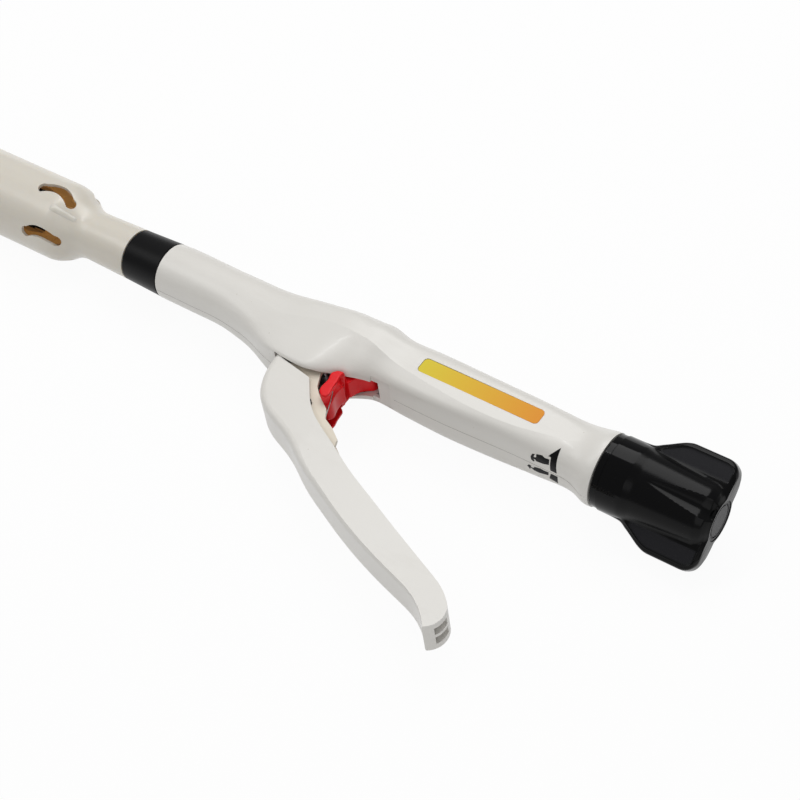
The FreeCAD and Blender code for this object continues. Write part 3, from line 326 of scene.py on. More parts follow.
# %% Group: lathe lines round the instrument's axis
lathe_lines, t, given, result = new_group(
    "lathe_lines",
    (("Vector", VECTOR, None), ("Line Scale", FLOAT, 900.0)),
    (("Height", FLOAT), ("Tone", FLOAT)))
parts = t.node("ShaderNodeSeparateXYZ")
t.link(given["Vector"], parts.inputs[0])
row = t.node("ShaderNodeCombineXYZ")
t.link(parts.outputs[0], row.inputs[0])
lines = t.node("ShaderNodeTexNoise")
lines.inputs["Detail"].default_value = 4.0
t.link(row.outputs[0], lines.inputs["Vector"])
t.link(given["Line Scale"], lines.inputs["Scale"])
broad = t.node("ShaderNodeTexNoise")
broad.inputs["Scale"].default_value = 60.0
t.link(given["Vector"], broad.inputs["Vector"])
t.link(lines.outputs["Fac"], result["Height"])
t.link(broad.outputs["Fac"], result["Tone"])
print("groups", [g.name for g in bpy.data.node_groups])

# %% [markdown]
# Colours are written as they look in the photograph, in screen values, and turned into linear
# light here. Typing linear numbers by hand would work too, but they are hard to compare with
# a picture.

# %% Colour helpers


def screen(r, g, b):
    def one(v):
        v = v / 255
        return v / 12.92 if v <= 0.04045 else ((v + 0.055) / 1.055) ** 2.4
    return (one(r), one(g), one(b), 1.0)


def mixed_colour(t, factor, a, b):
    mix = t.node("ShaderNodeMix", data_type="RGBA")
    mix.inputs[6].default_value = a
    mix.inputs[7].default_value = b
    t.link(factor, mix.inputs[0])
    return mix.outputs[2]


def mixed_over(t, factor, base, b):
    mix = t.node("ShaderNodeMix", data_type="RGBA")
    t.link(base, mix.inputs[6])
    mix.inputs[7].default_value = b
    t.link(factor, mix.inputs[0])
    return mix.outputs[2]


def between(t, value, low, high):
    span = t.node("ShaderNodeMapRange")
    span.inputs["To Min"].default_value = low
    span.inputs["To Max"].default_value = high
    t.link(value, span.inputs["Value"])
    return span.outputs[0]


def bumped(t, shader, height, strength, distance):
    bump = t.node("ShaderNodeBump")
    bump.inputs["Strength"].default_value = strength
    bump.inputs["Distance"].default_value = distance
    t.link(height, bump.inputs["Height"])
    t.link(bump.outputs[0], shader.inputs["Normal"])


print("white on screen is", screen(255, 255, 255))

# %% [markdown]
# One recipe covers all the plastics: base colour drifts between two near tones, rubs lighten or
# darken it a little, specks sit on top, roughness follows the rubs, and the grain feeds a Bump
# node. Gloss, coat and translucency differ from piece to piece and are set on the shader.

# %% Plastic recipe
RUB_SHARE, SPECK_SHARE, RUB_ROUGHER = 0.35, 0.6, 0.08


def plastic(name, tone_a, tone_b, rough, grain=0.04, coat=0.0, rub_tone=None, speck_tone=None,
            subsurface=0.0, grain_scale=2200.0, speck_scale=260.0, specular=0.5, painted_light=0.0):
    made, tree, out = new_material(name)
    t = Tree(tree)
    place = t.node("ShaderNodeTexCoord").outputs["Object"]
    grain_node = t.node("ShaderNodeGroup", node_tree=moulded_grain)
    grain_node.inputs["Grain Scale"].default_value = grain_scale
    t.link(place, grain_node.inputs["Vector"])
    marks = t.node("ShaderNodeGroup", node_tree=handling_marks)
    marks.inputs["Speck Scale"].default_value = speck_scale
    t.link(place, marks.inputs["Vector"])
    colour = mixed_colour(t, grain_node.outputs["Drift"], tone_a, tone_b)
    for tone, mark, share in ((rub_tone, "Rubs", RUB_SHARE), (speck_tone, "Specks", SPECK_SHARE)):
        if tone:
            cover = t.math("MULTIPLY", marks.outputs[mark], share)
            colour = mixed_over(t, cover, colour, tone)
    shader = t.node("ShaderNodeBsdfPrincipled")
    t.link(colour, shader.inputs["Base Color"])
    t.link(between(t, marks.outputs["Rubs"], rough, rough + RUB_ROUGHER),
           shader.inputs["Roughness"])
    shader.inputs["Specular IOR Level"].default_value = specular
    shader.inputs["Coat Weight"].default_value = coat
    shader.inputs["Coat Roughness"].default_value = 0.12
    shader.inputs["Subsurface Weight"].default_value = subsurface
    shader.inputs["Subsurface Radius"].default_value = (1.0, 0.8, 0.55)
    shader.inputs["Subsurface Scale"].default_value = 0.002
    # Painted light: an emission in the piece's own colour brightens it without any lamp.
    t.link(colour, shader.inputs["Emission Color"])
    shader.inputs["Emission Strength"].default_value = painted_light
    bumped(t, shader, grain_node.outputs["Height"], grain, 0.2 * MM)
    t.link(shader.outputs[0], out.inputs[0])
    return made


# %% [markdown]
# Each plastic is one line of the recipe: two tones, a roughness and what differs. The tan
# pusher carries painted light: a small emission in its own colour stands in for the light that
# the head's own plastic lets through to it.

# %% Plastics of the instrument
# Painted light: the tan pusher's emission stands in for light through the head's plastic.
TAN_PAINTED_LIGHT = 0.25
white_abs = plastic("white_abs", screen(226, 224, 219), screen(221, 218, 212), 0.36, grain=0.10,
                    rub_tone=screen(212, 208, 201), speck_tone=screen(196, 190, 180), coat=0.12)
cream_head = plastic("cream_head", screen(217, 212, 201), screen(212, 206, 194), 0.3, grain=0.03,
                     rub_tone=screen(203, 197, 184), subsurface=0.2, coat=0.15)
black_satin = plastic("black_satin", screen(10, 10, 11), screen(14, 14, 15), 0.36, grain=0.12,
                      rub_tone=screen(20, 20, 22), specular=0.14)
grey_cap = plastic("grey_cap", screen(50, 50, 52), screen(58, 58, 60), 0.45, grain=0.1,
                   rub_tone=screen(70, 70, 72), specular=0.2)
red_catch = plastic("red_catch", screen(240, 26, 34), screen(224, 18, 28), 0.3, grain=0.03,
                    rub_tone=screen(196, 14, 24), specular=0.2)
cream_core = plastic("cream_core", screen(230, 222, 208), screen(220, 210, 192), 0.4, grain=0.06,
                     rub_tone=screen(202, 192, 172))
bearing_white = plastic("bearing_white", screen(205, 204, 198), screen(196, 194, 188), 0.35,
                        rub_tone=screen(180, 178, 172))
cartridge_white = plastic("cartridge_white", screen(222, 222, 220), screen(214, 214, 212), 0.3,
                          rub_tone=screen(200, 200, 198))
washer_white = plastic("washer_white", screen(232, 231, 226), screen(226, 224, 218), 0.5,
                       rub_tone=screen(214, 212, 206))
tan_pusher = plastic("tan_pusher", screen(190, 144, 84), screen(170, 124, 68), 0.42,
                     rub_tone=screen(146, 104, 56), specular=0.2, painted_light=TAN_PAINTED_LIGHT)
print("materials so far", len(bpy.data.materials))

# %% [markdown]
# The knob is one moulding with two skins: a polished hub and grained flats on the wings. Two
# slots would give a hard border, so a mask does it. The knob's own mesh carries the mask as an
# attribute, 1 on the sunk flats, and it blends tone, roughness and grain. The collar at the
# front has the highest polish, and a range on Object X lowers the roughness there.

# %% Knob plastic with grained wings
COLLAR_END = 327.0 * MM
COLLAR_POLISH = 0.35
black_gloss, tree, out = new_material("black_gloss")
t = Tree(tree)
place = t.node("ShaderNodeTexCoord").outputs["Object"]
wing = t.node("ShaderNodeAttribute", attribute_name="grained").outputs["Fac"]
grain_node = t.node("ShaderNodeGroup", node_tree=moulded_grain)
grain_node.inputs["Grain Scale"].default_value = 3200.0
t.link(place, grain_node.inputs["Vector"])
marks = t.node("ShaderNodeGroup", node_tree=handling_marks)
t.link(place, marks.inputs["Vector"])
colour = mixed_colour(t, grain_node.outputs["Drift"], screen(7, 7, 8), screen(11, 11, 12))
colour = mixed_over(t, t.math("MULTIPLY", wing, 0.9), colour, screen(34, 34, 37))
colour = mixed_over(t, t.math("MULTIPLY", marks.outputs["Rubs"], 0.3), colour, screen(18, 18, 20))
polish = between(t, marks.outputs["Rubs"], 0.2, 0.27)
spots = t.node("ShaderNodeSeparateXYZ")
t.link(place, spots.inputs[0])
past_collar = t.node("ShaderNodeMapRange")
past_collar.inputs["From Min"].default_value = COLLAR_END
past_collar.inputs["From Max"].default_value = COLLAR_END + 1.0 * MM
past_collar.inputs["To Min"].default_value = COLLAR_POLISH
t.link(spots.outputs[0], past_collar.inputs["Value"])
polish = t.math("MULTIPLY", polish, past_collar.outputs[0])
shader = t.node("ShaderNodeBsdfPrincipled")
shader.inputs["Specular IOR Level"].default_value = 0.13
t.link(colour, shader.inputs["Base Color"])
t.link(t.math("ADD", polish, t.math("MULTIPLY", wing, 0.4)), shader.inputs["Roughness"])
grained = t.math("MULTIPLY", grain_node.outputs["Height"], t.math("ADD", wing, 0.04))
bumped(t, shader, grained, 0.35, 0.1 * MM)
t.link(shader.outputs[0], out.inputs[0])
print("knob finish", black_gloss.name)

# %% [markdown]
# The metal pieces are turned or drawn, so their finish runs in rings round the axis. A bump
# from lathe lines and a tone that shifts slightly make them read as steel rather than grey
# paint.

# %% Metal recipe
LINE_ROUGHER = 0.14


def metal(name, tone_a, tone_b, rough, line_scale=900.0, strength=0.15):
    made, tree, out = new_material(name)
    t = Tree(tree)
    place = t.node("ShaderNodeTexCoord").outputs["Object"]
    lines = t.node("ShaderNodeGroup", node_tree=lathe_lines)
    lines.inputs["Line Scale"].default_value = line_scale
    t.link(place, lines.inputs["Vector"])
    shader = t.node("ShaderNodeBsdfPrincipled")
    shader.inputs["Metallic"].default_value = 1.0
    t.link(mixed_colour(t, lines.outputs["Tone"], tone_a, tone_b), shader.inputs["Base Color"])
    t.link(between(t, lines.outputs["Height"], rough, rough + LINE_ROUGHER),
           shader.inputs["Roughness"])
    bumped(t, shader, lines.outputs["Height"], strength, 0.1 * MM)
    t.link(shader.outputs[0], out.inputs[0])
    return made


bright_steel = metal("bright_steel", screen(206, 206, 208), screen(188, 188, 191), 0.22)
spring_wire = metal("spring_wire", screen(176, 174, 172), screen(158, 156, 154), 0.3, 400.0)
staple_wire = metal("staple_wire", screen(196, 194, 190), screen(182, 180, 176), 0.28, 300.0)
turned_brass = metal("turned_brass", screen(204, 172, 108), screen(190, 156, 92), 0.26)
driver_alloy = metal("driver_alloy", screen(204, 205, 207), screen(192, 193, 196), 0.3)
dark_rivet = metal("dark_rivet", screen(40, 38, 36), screen(56, 54, 52), 0.35)
print("materials so far", len(bpy.data.materials))

# %% [markdown]
# The lead screw carries a four-start thread with a steep lead, about 10 mm a turn, because the
# knob has to wind the anvil back in few turns. It sits inside the sleeve and hardly shows, so
# the ridges are a bump: a wave that climbs along the axis while it goes round it. The same wave
# also paints shade and light into the colour: dark in the thread's roots, bright on its crests.

# %% Threaded steel
LEAD = 10.05 * MM
STARTS = 4
threaded_steel, tree, out = new_material("threaded_steel")
t = Tree(tree)
place = t.node("ShaderNodeTexCoord").outputs["Object"]
spots = t.node("ShaderNodeSeparateXYZ")
t.link(place, spots.inputs[0])
turn = t.math("MULTIPLY", t.math("ARCTAN2", spots.outputs[2], spots.outputs[1]), STARTS)
climb = t.math("MULTIPLY", spots.outputs[0], 2 * math.pi * STARTS / LEAD)
ridge = t.math("SINE", t.math("SUBTRACT", climb, turn))
lines = t.node("ShaderNodeGroup", node_tree=lathe_lines)
t.link(place, lines.inputs["Vector"])
painted_thread_shade = t.node("ShaderNodeMapRange")
painted_thread_shade.inputs["From Min"].default_value = -1.0
t.link(ridge, painted_thread_shade.inputs["Value"])
shader = t.node("ShaderNodeBsdfPrincipled")
shader.inputs["Metallic"].default_value = 1.0
# Painted shade and highlight: the thread's roots are coloured dark grey, its crests bright steel.
t.link(mixed_colour(t, painted_thread_shade.outputs[0], screen(112, 110, 106), screen(204, 204, 206)),
       shader.inputs["Base Color"])
t.link(between(t, lines.outputs["Height"], 0.2, 0.36), shader.inputs["Roughness"])
bumped(t, shader, ridge, 0.8, 0.6 * MM)
t.link(shader.outputs[0], out.inputs[0])
print("thread: starts", STARTS, "lead", LEAD)

# %% [markdown]
# The label in the handle's recess runs from yellow to orange along its length. The printed
# words belong to a maker and are left out, so the film is bare. A gradient on Object X is
# enough, because the label lies along the axis.

# %% Label film
label_film, tree, out = new_material("label_film")
t = Tree(tree)
label_low, label_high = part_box("label_plate")
spots = t.node("ShaderNodeSeparateXYZ")
t.link(t.node("ShaderNodeTexCoord").outputs["Object"], spots.inputs[0])
along = t.node("ShaderNodeMapRange")
along.inputs["From Min"].default_value = label_low.x
along.inputs["From Max"].default_value = label_high.x
t.link(spots.outputs[0], along.inputs["Value"])
colours = t.node("ShaderNodeValToRGB")
colours.color_ramp.elements[0].color = screen(218, 202, 60)
colours.color_ramp.elements[1].color = screen(226, 146, 44)
colours.color_ramp.elements.new(0.35).color = screen(222, 184, 54)
t.link(along.outputs[0], colours.inputs[0])
weave = t.node("ShaderNodeGroup", node_tree=moulded_grain)
t.link(t.node("ShaderNodeTexCoord").outputs["Object"], weave.inputs["Vector"])
shader = t.node("ShaderNodeBsdfPrincipled")
shader.inputs["Specular IOR Level"].default_value = 0.1
t.link(mixed_over(t, t.math("MULTIPLY", weave.outputs["Drift"], 0.12), colours.outputs[0],
                  screen(214, 150, 40)), shader.inputs["Base Color"])
t.link(between(t, weave.outputs["Drift"], 0.24, 0.34), shader.inputs["Roughness"])
bumped(t, shader, weave.outputs["Height"], 0.03, 0.1 * MM)
t.link(shader.outputs[0], out.inputs[0])
print("label from", round(label_low.x, 4), "to", round(label_high.x, 4))

# %% [markdown]
# One table says which finish each CAD piece wears. A row of single calls would do the same,
# but in a table a piece that was forgotten is easy to find, and the last line prints it.

# %% Put a finish on every CAD piece
FINISH = {
    white_abs: ("handle_shell_upper", "handle_shell_lower", "lever_shell"),
    cream_head: ("head_casing", "anvil_cap"),
    black_satin: ("front_ring",),
    black_gloss: ("knob",),
    grey_cap: ("knob_end_cap",),
    red_catch: ("safety_catch",),
    cream_core: ("lever_core",),
    bearing_white: ("neck_bush", "screw_guide", "rear_bearing", "driver_collar"),
    cartridge_white: ("staple_cartridge",),
    washer_white: ("cutting_washer",),
    tan_pusher: ("staple_pusher",),
    threaded_steel: ("lead_screw",),
    bright_steel: ("pull_rod", "rod_cross_pin", "anvil_shaft", "anvil_base",
                   "ring_knife", "lever_fork", "lever_pivot_pin", "catch_pivot_pin",
                   "knob_grub_screws"),
    spring_wire: ("driver_return_spring", "knob_retaining_clip", "catch_spring"),
    staple_wire: ("staples",),
    turned_brass: ("screw_sleeve",),
    driver_alloy: ("driver_tube",),
    dark_rivet: ("core_rivets",),
    label_film: ("label_plate",),
}
for finish, names in FINISH.items():
    for name in names:
        mesh = nodes[name].data
        mesh.materials.clear()
        mesh.materials.append(finish)
dressed = {name for names in FINISH.values() for name in names}
print("still bare:", sorted(set(nodes) - dressed))

# %% [markdown]
# The CAD knob has plain joins where the wings meet the hub. On the moulding the hub flows out
# into the wings, the flats are sunk a little and grained, and a flute that widens towards the
# end runs along the hub between them. The knob is therefore drawn again as a row of cross
# sections. Each is a smooth blend of a circle and a flat bar, and all have the same number of
# points, so the skin is a plain grid. Booleans and bevels would leave seams in the gloss.

# %% Cross sections of the knob
KNOB_START, KNOB_END = 315.4, 360.5
HUB_RADII = ((315.4, 13.9), (315.8, 14.3), (318.0, 14.35), (318.3, 14.7), (327.0, 14.7),
             (330.5, 14.0), (355.5, 12.6), (358.0, 11.6), (359.4, 10.0), (360.1, 8.9),
             (360.5, 8.5))
WING_REACH, WING_CORNER = 21.4, 6.0
WING_ROOT_POLES = ((323.0, 14.7), (332.5, 14.7), (336.0, 21.4), (342.0, 21.4))


def eased(low, high, value):
    share = min(1.0, max(0.0, (value - low) / (high - low)))
    return share * share * (3 - 2 * share)


def along_rows(rows, x):
    """Straight reading between the rows of a short table of (x, value)."""
    for (xa, a), (xb, b) in zip(rows, rows[1:]):
        if x <= xb:
            return a + (b - a) * max(0.0, x - xa) / (xb - xa)
    return rows[-1][1]


def bezier_rows(poles, count=24):
    rows = []
    for i in range(count + 1):
        t = i / count
        weights = ((1 - t) ** 3, 3 * t * (1 - t) ** 2, 3 * t * t * (1 - t), t ** 3)
        rows.append(tuple(sum(w * p[axis] for w, p in zip(weights, poles)) for axis in (0, 1)))
    return rows


ROOT_ROWS = bezier_rows(WING_ROOT_POLES)


def wing_reach(x):
    """How far the wings stand out from the axis at a place along it."""
    if x <= WING_ROOT_POLES[-1][0]:
        return along_rows(ROOT_ROWS, x)
    past = x - (KNOB_END - WING_CORNER)
    if past <= 0:
        return WING_REACH
    return WING_REACH - WING_CORNER + math.sqrt(max(0.0, WING_CORNER ** 2 - past ** 2))


print("wing reach at", 338.0, "is", round(wing_reach(338.0), 2))

# %% [markdown]
# One quarter of a section runs from the top of the hub out to the wing's tip: points on the
# hub's arc, on the flat, round the rim and down the tip. Where arc and flat meet, a small
# swell fills the corner. The wing is thinner at its root's front, at its end and at its tip.

# %% A quarter of a section
WING_START, WING_OUT, WING_THICK = 323.0, 331.0, 334.0
WING_BAR, WING_TIP_BAR = 5.6, 3.6
ROOT_THINNER, END_THINNER, END_ROUND = 2.6, 1.3, 359.0
TAPER_FROM, TAPER_TO, TAPER_GAIN = 9.0, 24.0, 1.2
RIM_ROUND, FLAT_LEAST = 1.6, 0.92
CORNER_FILL, CORNER_SWELL = 1.6, 0.4
SUNK = 0.3
SUNK_IN, SUNK_RIM = (13.0, 13.6), (2.4, 1.9)
SUNK_FRONT, SUNK_REAR = (331.0, 333.5), (358.0, 358.8)
ARC_POINTS, FLAT_POINTS, RIM_POINTS, TIP_POINTS = 44, 16, 6, 3
ARC_END = math.radians(64.0)


def wing_taper(y):
    """How much thinner the wing is at a distance from the axis."""
    return (WING_BAR - WING_TIP_BAR) * eased(TAPER_FROM, TAPER_TO, y) * TAPER_GAIN


def sunk_share(x, y, reach):
    """1 on the sunk and grained flat of a wing, 0 off it."""
    return (eased(*SUNK_IN, y) * (1 - eased(reach - SUNK_RIM[0], reach - SUNK_RIM[1], y))
            * eased(*SUNK_FRONT, x) * (1 - eased(*SUNK_REAR, x)))


def knob_quarter(x):
    """Outline from the top of the hub to the wing's tip, with a mark for the grained flat."""
    hub = along_rows(HUB_RADII, x)
    reach = max(wing_reach(x), hub)
    bar = (WING_BAR - ROOT_THINNER * (1 - eased(WING_START, WING_THICK, x))
           - END_THINNER * eased(END_ROUND, KNOB_END, x))
    wing_share = eased(WING_START, WING_OUT, x)
    arc_end = hub * math.sin(ARC_END)
    flat_end = max(reach - RIM_ROUND, hub * FLAT_LEAST)
    count = ARC_POINTS + FLAT_POINTS + RIM_POINTS + TIP_POINTS
    outline = []
    for i in range(count):
        step = i - ARC_POINTS + 1
        if step <= 0:
            angle = ARC_END * i / (ARC_POINTS - 1)
            y = hub * math.sin(angle)
        else:
            angle = ARC_END + (math.pi / 2 - ARC_END) * step / (count - ARC_POINTS)
            y = arc_end + (flat_end - arc_end) * min(1.0, step / FLAT_POINTS)
        round_y, round_z = hub * math.sin(angle), hub * math.cos(angle)
        arc = math.sqrt(max(0.0, hub * hub - y * y))
        sunk = sunk_share(x, y, reach)
        flat = bar - wing_taper(y) - SUNK * sunk
        near = max(CORNER_FILL - abs(arc - flat), 0.0) / CORNER_FILL
        z = max(arc, flat) + near * near * CORNER_SWELL
        past = step - 1 - FLAT_POINTS
        if past >= 0:
            turn = math.pi / 2 * min(1.0, (past + 1) / RIM_POINTS)
            y = flat_end + RIM_ROUND * math.sin(turn)
            tip = bar - wing_taper(reach)
            z = tip - RIM_ROUND + RIM_ROUND * math.cos(turn)
            if past >= RIM_POINTS:
                z = (tip - RIM_ROUND) * (RIM_POINTS + TIP_POINTS - 1 - past) / TIP_POINTS
        outline.append((round_y + (y - round_y) * wing_share,
                        round_z + (z - round_z) * wing_share, sunk * wing_share))
    return outline


print("points in a quarter", len(knob_quarter(350.0)))

# %% [markdown]
# Mirrored twice, the quarter is a whole section. It is then turned to the rest pose, and the
# two flutes are cut in by drawing the points towards the axis.

# %% Whole sections
KNOB_TURN = math.radians(32.0)
FLUTE_FROM, FLUTE_TO, FLUTE_DEEP = 333.0, 359.0, 2.6
FLUTE_MIDDLE, FLUTE_HALF = math.radians(81.0), math.radians(20.0)
FLUTE_LEAST, FLUTE_SPREAD, FLUTE_FADE = 0.02, 0.8, (359.3, 360.4)


def knob_section(x):
    """Whole cross section as (y, z, grained), turned to the rest pose, flutes cut in."""
    quarter = knob_quarter(x)
    half = [(-y, z, g) for y, z, g in reversed(quarter)] + quarter[1:]
    loop = half + [(-y, -z, g) for y, z, g in half[1:-1]]
    along = (x - FLUTE_FROM) / (FLUTE_TO - FLUTE_FROM)
    deep = FLUTE_DEEP * max(0.0, along)
    width = FLUTE_HALF * min(1.0, max(FLUTE_LEAST, along) ** FLUTE_SPREAD)
    turned = []
    for y, z, grained in loop:
        angle = math.atan2(z, y)
        off = (angle - FLUTE_MIDDLE + math.pi / 2) % math.pi - math.pi / 2
        scoop = deep * max(0.0, 1 - (off / width) ** 2)
        length = math.hypot(y, z) - scoop * (1 - eased(*FLUTE_FADE, x))
        angle += KNOB_TURN
        turned.append((length * math.cos(angle), length * math.sin(angle), grained))
    return turned


print("points in one section", len(knob_section(350.0)))

# %% [markdown]
# The skin runs through all the sections and then inwards: at the front into the bore for the
# sleeve and the lead screw, at the end into the seat of the grey disc. Because the rings all
# have the same number of points, each pair is joined by one row of faces.

# %% Skin of the knob
SLEEVE_BORE, SCREW_BORE, CAP_BORE = 7.0, 4.0, 7.96
BORE_STEP, BORE_END, CAP_FLOOR = 341.06, 352.0, 358.7
HUB_STEPS = (315.4, 315.8, 318.0, 318.3, 321.0, 324.0, 326.0)
END_STEPS = (357.2, 357.6, 358.0, 358.4, 358.8, 359.2, 359.6, 360.0, 360.3, 360.5)
WING_STEPS = [327 + i * 0.6 for i in range(50)]
SHARP_FROM = math.radians(28)


def circle(x, radius, like):
    """Ring of a bore, with its points at the same angles as those of a section."""
    return [(x, radius * math.cos(a), radius * math.sin(a), 0.0)
            for a in (math.atan2(z, y) for y, z, g in like)]


def knob_mesh():
    front, rear = knob_section(KNOB_START), knob_section(KNOB_END)
    points = len(front)
    loops = [circle(BORE_END, SCREW_BORE, front), circle(BORE_STEP, SCREW_BORE, front),
             circle(BORE_STEP, SLEEVE_BORE, front), circle(KNOB_START, SLEEVE_BORE, front)]
    loops += [[(x, y, z, g) for y, z, g in knob_section(x)]
              for x in (*HUB_STEPS, *WING_STEPS, *END_STEPS)]
    loops += [circle(KNOB_END, CAP_BORE, rear), circle(CAP_FLOOR, CAP_BORE, rear)]
    corners = [p for loop in loops for p in loop]
    faces = []
    for here in range(0, (len(loops) - 1) * points, points):
        for j in range(points):
            k = (j + 1) % points
            faces.append((here + j, here + k, here + points + k, here + points + j))
    for base, x in ((0, BORE_END), ((len(loops) - 1) * points, CAP_FLOOR)):
        corners.append((x, 0.0, 0.0, 0.0))
        faces += [(base + j, base + (j + 1) % points, len(corners) - 1) for j in range(points)]
    mesh = bpy.data.meshes.new("knob_moulding")
    mesh.from_pydata([Vector(c[:3]) * MM for c in corners], [], faces)
    mask = mesh.attributes.new("grained", "FLOAT", "POINT")
    mask.data.foreach_set("value", [c[3] for c in corners])
    work = bmesh.new()
    work.from_mesh(mesh)
    bmesh.ops.recalc_face_normals(work, faces=work.faces[:])
    work.to_mesh(mesh)
    work.free()
    mesh.shade_smooth()
    mesh.set_sharp_from_angle(angle=SHARP_FROM)
    mesh.materials.append(black_gloss)
    return mesh


knob_piece = link_object("knob_moulding", knob_mesh())
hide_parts("knob")
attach(knob_piece, "knob")
print("knob faces", len(knob_piece.data.polygons))

# %% [markdown]
# The red catch is a soft-edged moulding: its arm, hub and two finger wings melt into each
# other. The CAD solid is right in place and size but crisp. A copy of it is merged, rebuilt as
# a fine even skin and smoothed, which rounds every edge and fills the corners like a moulding.

# %% Rounded catch
SKIN_STEP, SAME_PLACE = 0.22 * MM, 0.01 * MM
SMOOTH_PASSES, SMOOTH_FACTOR = 9, 0.5
ARM_HALF, FINGER_TOP, BRIDGE_BACK = 4.6, -19.0, 209.0
BRIDGE_SLANT, BRIDGE_KEEP, FAR_WING_FORWARD = 0.085, 0.15, 1.2


def drawn_in(v):
    """The bridge between the wings narrows outwards, and the far wing sits a little forward."""
    if abs(v.z) < ARM_HALF * MM:
        return
    if v.y > FINGER_TOP * MM and v.x > BRIDGE_BACK * MM:
        kept = (v.x - BRIDGE_BACK * MM) * BRIDGE_KEEP
        v.x = (BRIDGE_BACK + BRIDGE_SLANT * (v.z / MM)) * MM + kept
    if v.z < 0:
        v.x -= FAR_WING_FORWARD * MM


def softened(node, name, finish, change):
    """Smooth copy of a CAD piece, each corner moved by change() before it is rounded."""
    work = bmesh.new()
    work.from_mesh(nodes[node].data)
    bmesh.ops.remove_doubles(work, verts=work.verts[:], dist=SAME_PLACE)
    for v in work.verts:
        change(v.co)
    mesh = bpy.data.meshes.new(name + "_start")
    work.to_mesh(mesh)
    work.free()
    carrier = link_object(name + "_start", mesh)
    even = carrier.modifiers.new("even", "REMESH")
    even.mode = "VOXEL"
    even.voxel_size = SKIN_STEP
    even.use_smooth_shade = True
    soft = carrier.modifiers.new("soft", "SMOOTH")
    soft.factor = SMOOTH_FACTOR
    soft.iterations = SMOOTH_PASSES
    ready = carrier.evaluated_get(bpy.context.evaluated_depsgraph_get())
    made = link_object(name, bpy.data.meshes.new_from_object(ready))
    bpy.data.objects.remove(carrier)
    made.data.materials.clear()
    made.data.materials.append(finish)
    made.data.shade_smooth()
    print(name, "faces", len(made.data.polygons))
    return made


catch_piece = softened("safety_catch", "catch_moulding", red_catch, drawn_in)
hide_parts("safety_catch")
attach(catch_piece, "catch")

# %% [markdown]
# Near the knob the handle carries plain black signs: an arrow in two parts, one on each side of
# the parting line, and two small figures with a dot in front of each. The arrow carries no
# lettering here. They are printed in plain black ink, a little uneven in tone.

# %% Ink
ink, tree, out = new_material("black_ink")
t = Tree(tree)
cover = t.node("ShaderNodeGroup", node_tree=moulded_grain)
cover.inputs["Drift Scale"].default_value = 900.0
t.link(t.node("ShaderNodeTexCoord").outputs["Object"], cover.inputs["Vector"])
shader = t.node("ShaderNodeBsdfPrincipled")
t.link(mixed_colour(t, cover.outputs["Drift"], screen(8, 8, 9), screen(18, 18, 19)),
       shader.inputs["Base Color"])
shader.inputs["Specular IOR Level"].default_value = 0.12
t.link(between(t, cover.outputs["Drift"], 0.35, 0.5), shader.inputs["Roughness"])
t.link(shader.outputs[0], out.inputs[0])
print("ink", ink.name)

# %% [markdown]
# The signs wrap over the belly, so flat shapes would sink in or float. Each is drawn as an
# outline in the plane of axis and angle and filled with small triangles. Every corner is then
# dropped on to the shell by a ray, with a hair of height for the ink.

# %% Helpers for printed signs
INK_HEIGHT = 0.04 * MM
RAY_FROM = 60 * MM
OUTLINE_STEP, FILL_CUTS = 1.2, 3


def shell_surface():
    """One search tree over both half shells."""
    joined = bmesh.new()
    for name in ("handle_shell_upper", "handle_shell_lower"):
        joined.from_mesh(nodes[name].data)
    made = BVHTree.FromBMesh(joined)
    joined.free()
    return made


SHELLS = shell_surface()


def on_belly(x, angle):
    """Point of the belly at a place on the axis and an angle up from straight down."""
    out_dir = Vector((0, -math.cos(angle), math.sin(angle)))
    hit = SHELLS.ray_cast(Vector((x, 0, 0)) + out_dir * RAY_FROM, -out_dir)[0]
    return hit + out_dir * INK_HEIGHT


def sign(name, outline):
    """Filled shape in (axis mm, angle degrees), laid on the belly."""
    flat = bmesh.new()
    corners = []
    for a, b in zip(outline, outline[1:] + outline[:1]):
        a, b = Vector(a), Vector(b)
        steps = max(2, int((b - a).length / OUTLINE_STEP))
        corners += [a.lerp(b, k / steps) for k in range(steps)]
    face = flat.faces.new([flat.verts.new((p.x, p.y, 0)) for p in corners])
    bmesh.ops.triangulate(flat, faces=[face])
    bmesh.ops.subdivide_edges(flat, edges=flat.edges[:], cuts=FILL_CUTS, use_grid_fill=True)
    bmesh.ops.triangulate(flat, faces=flat.faces[:])
    for v in flat.verts:
        v.co = on_belly(v.co.x * MM, math.radians(v.co.y))
    bmesh.ops.recalc_face_normals(flat, faces=flat.faces[:])
    mesh = bpy.data.meshes.new(name)
    flat.normal_update()
    if sum(f.normal.y for f in flat.faces) > 0:
        bmesh.ops.reverse_faces(flat, faces=flat.faces[:])
    flat.to_mesh(mesh)
    flat.free()
    made = link_object(name, mesh)
    mesh.materials.append(ink)
    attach(made, "handle")
    return made


# %% [markdown]
# The outlines are tables of corners: the place along the axis in millimetres, and the angle in
# degrees up from straight down. They were drawn in the camera's view and turned into these two
# numbers, so each sign lies where the camera sees it.

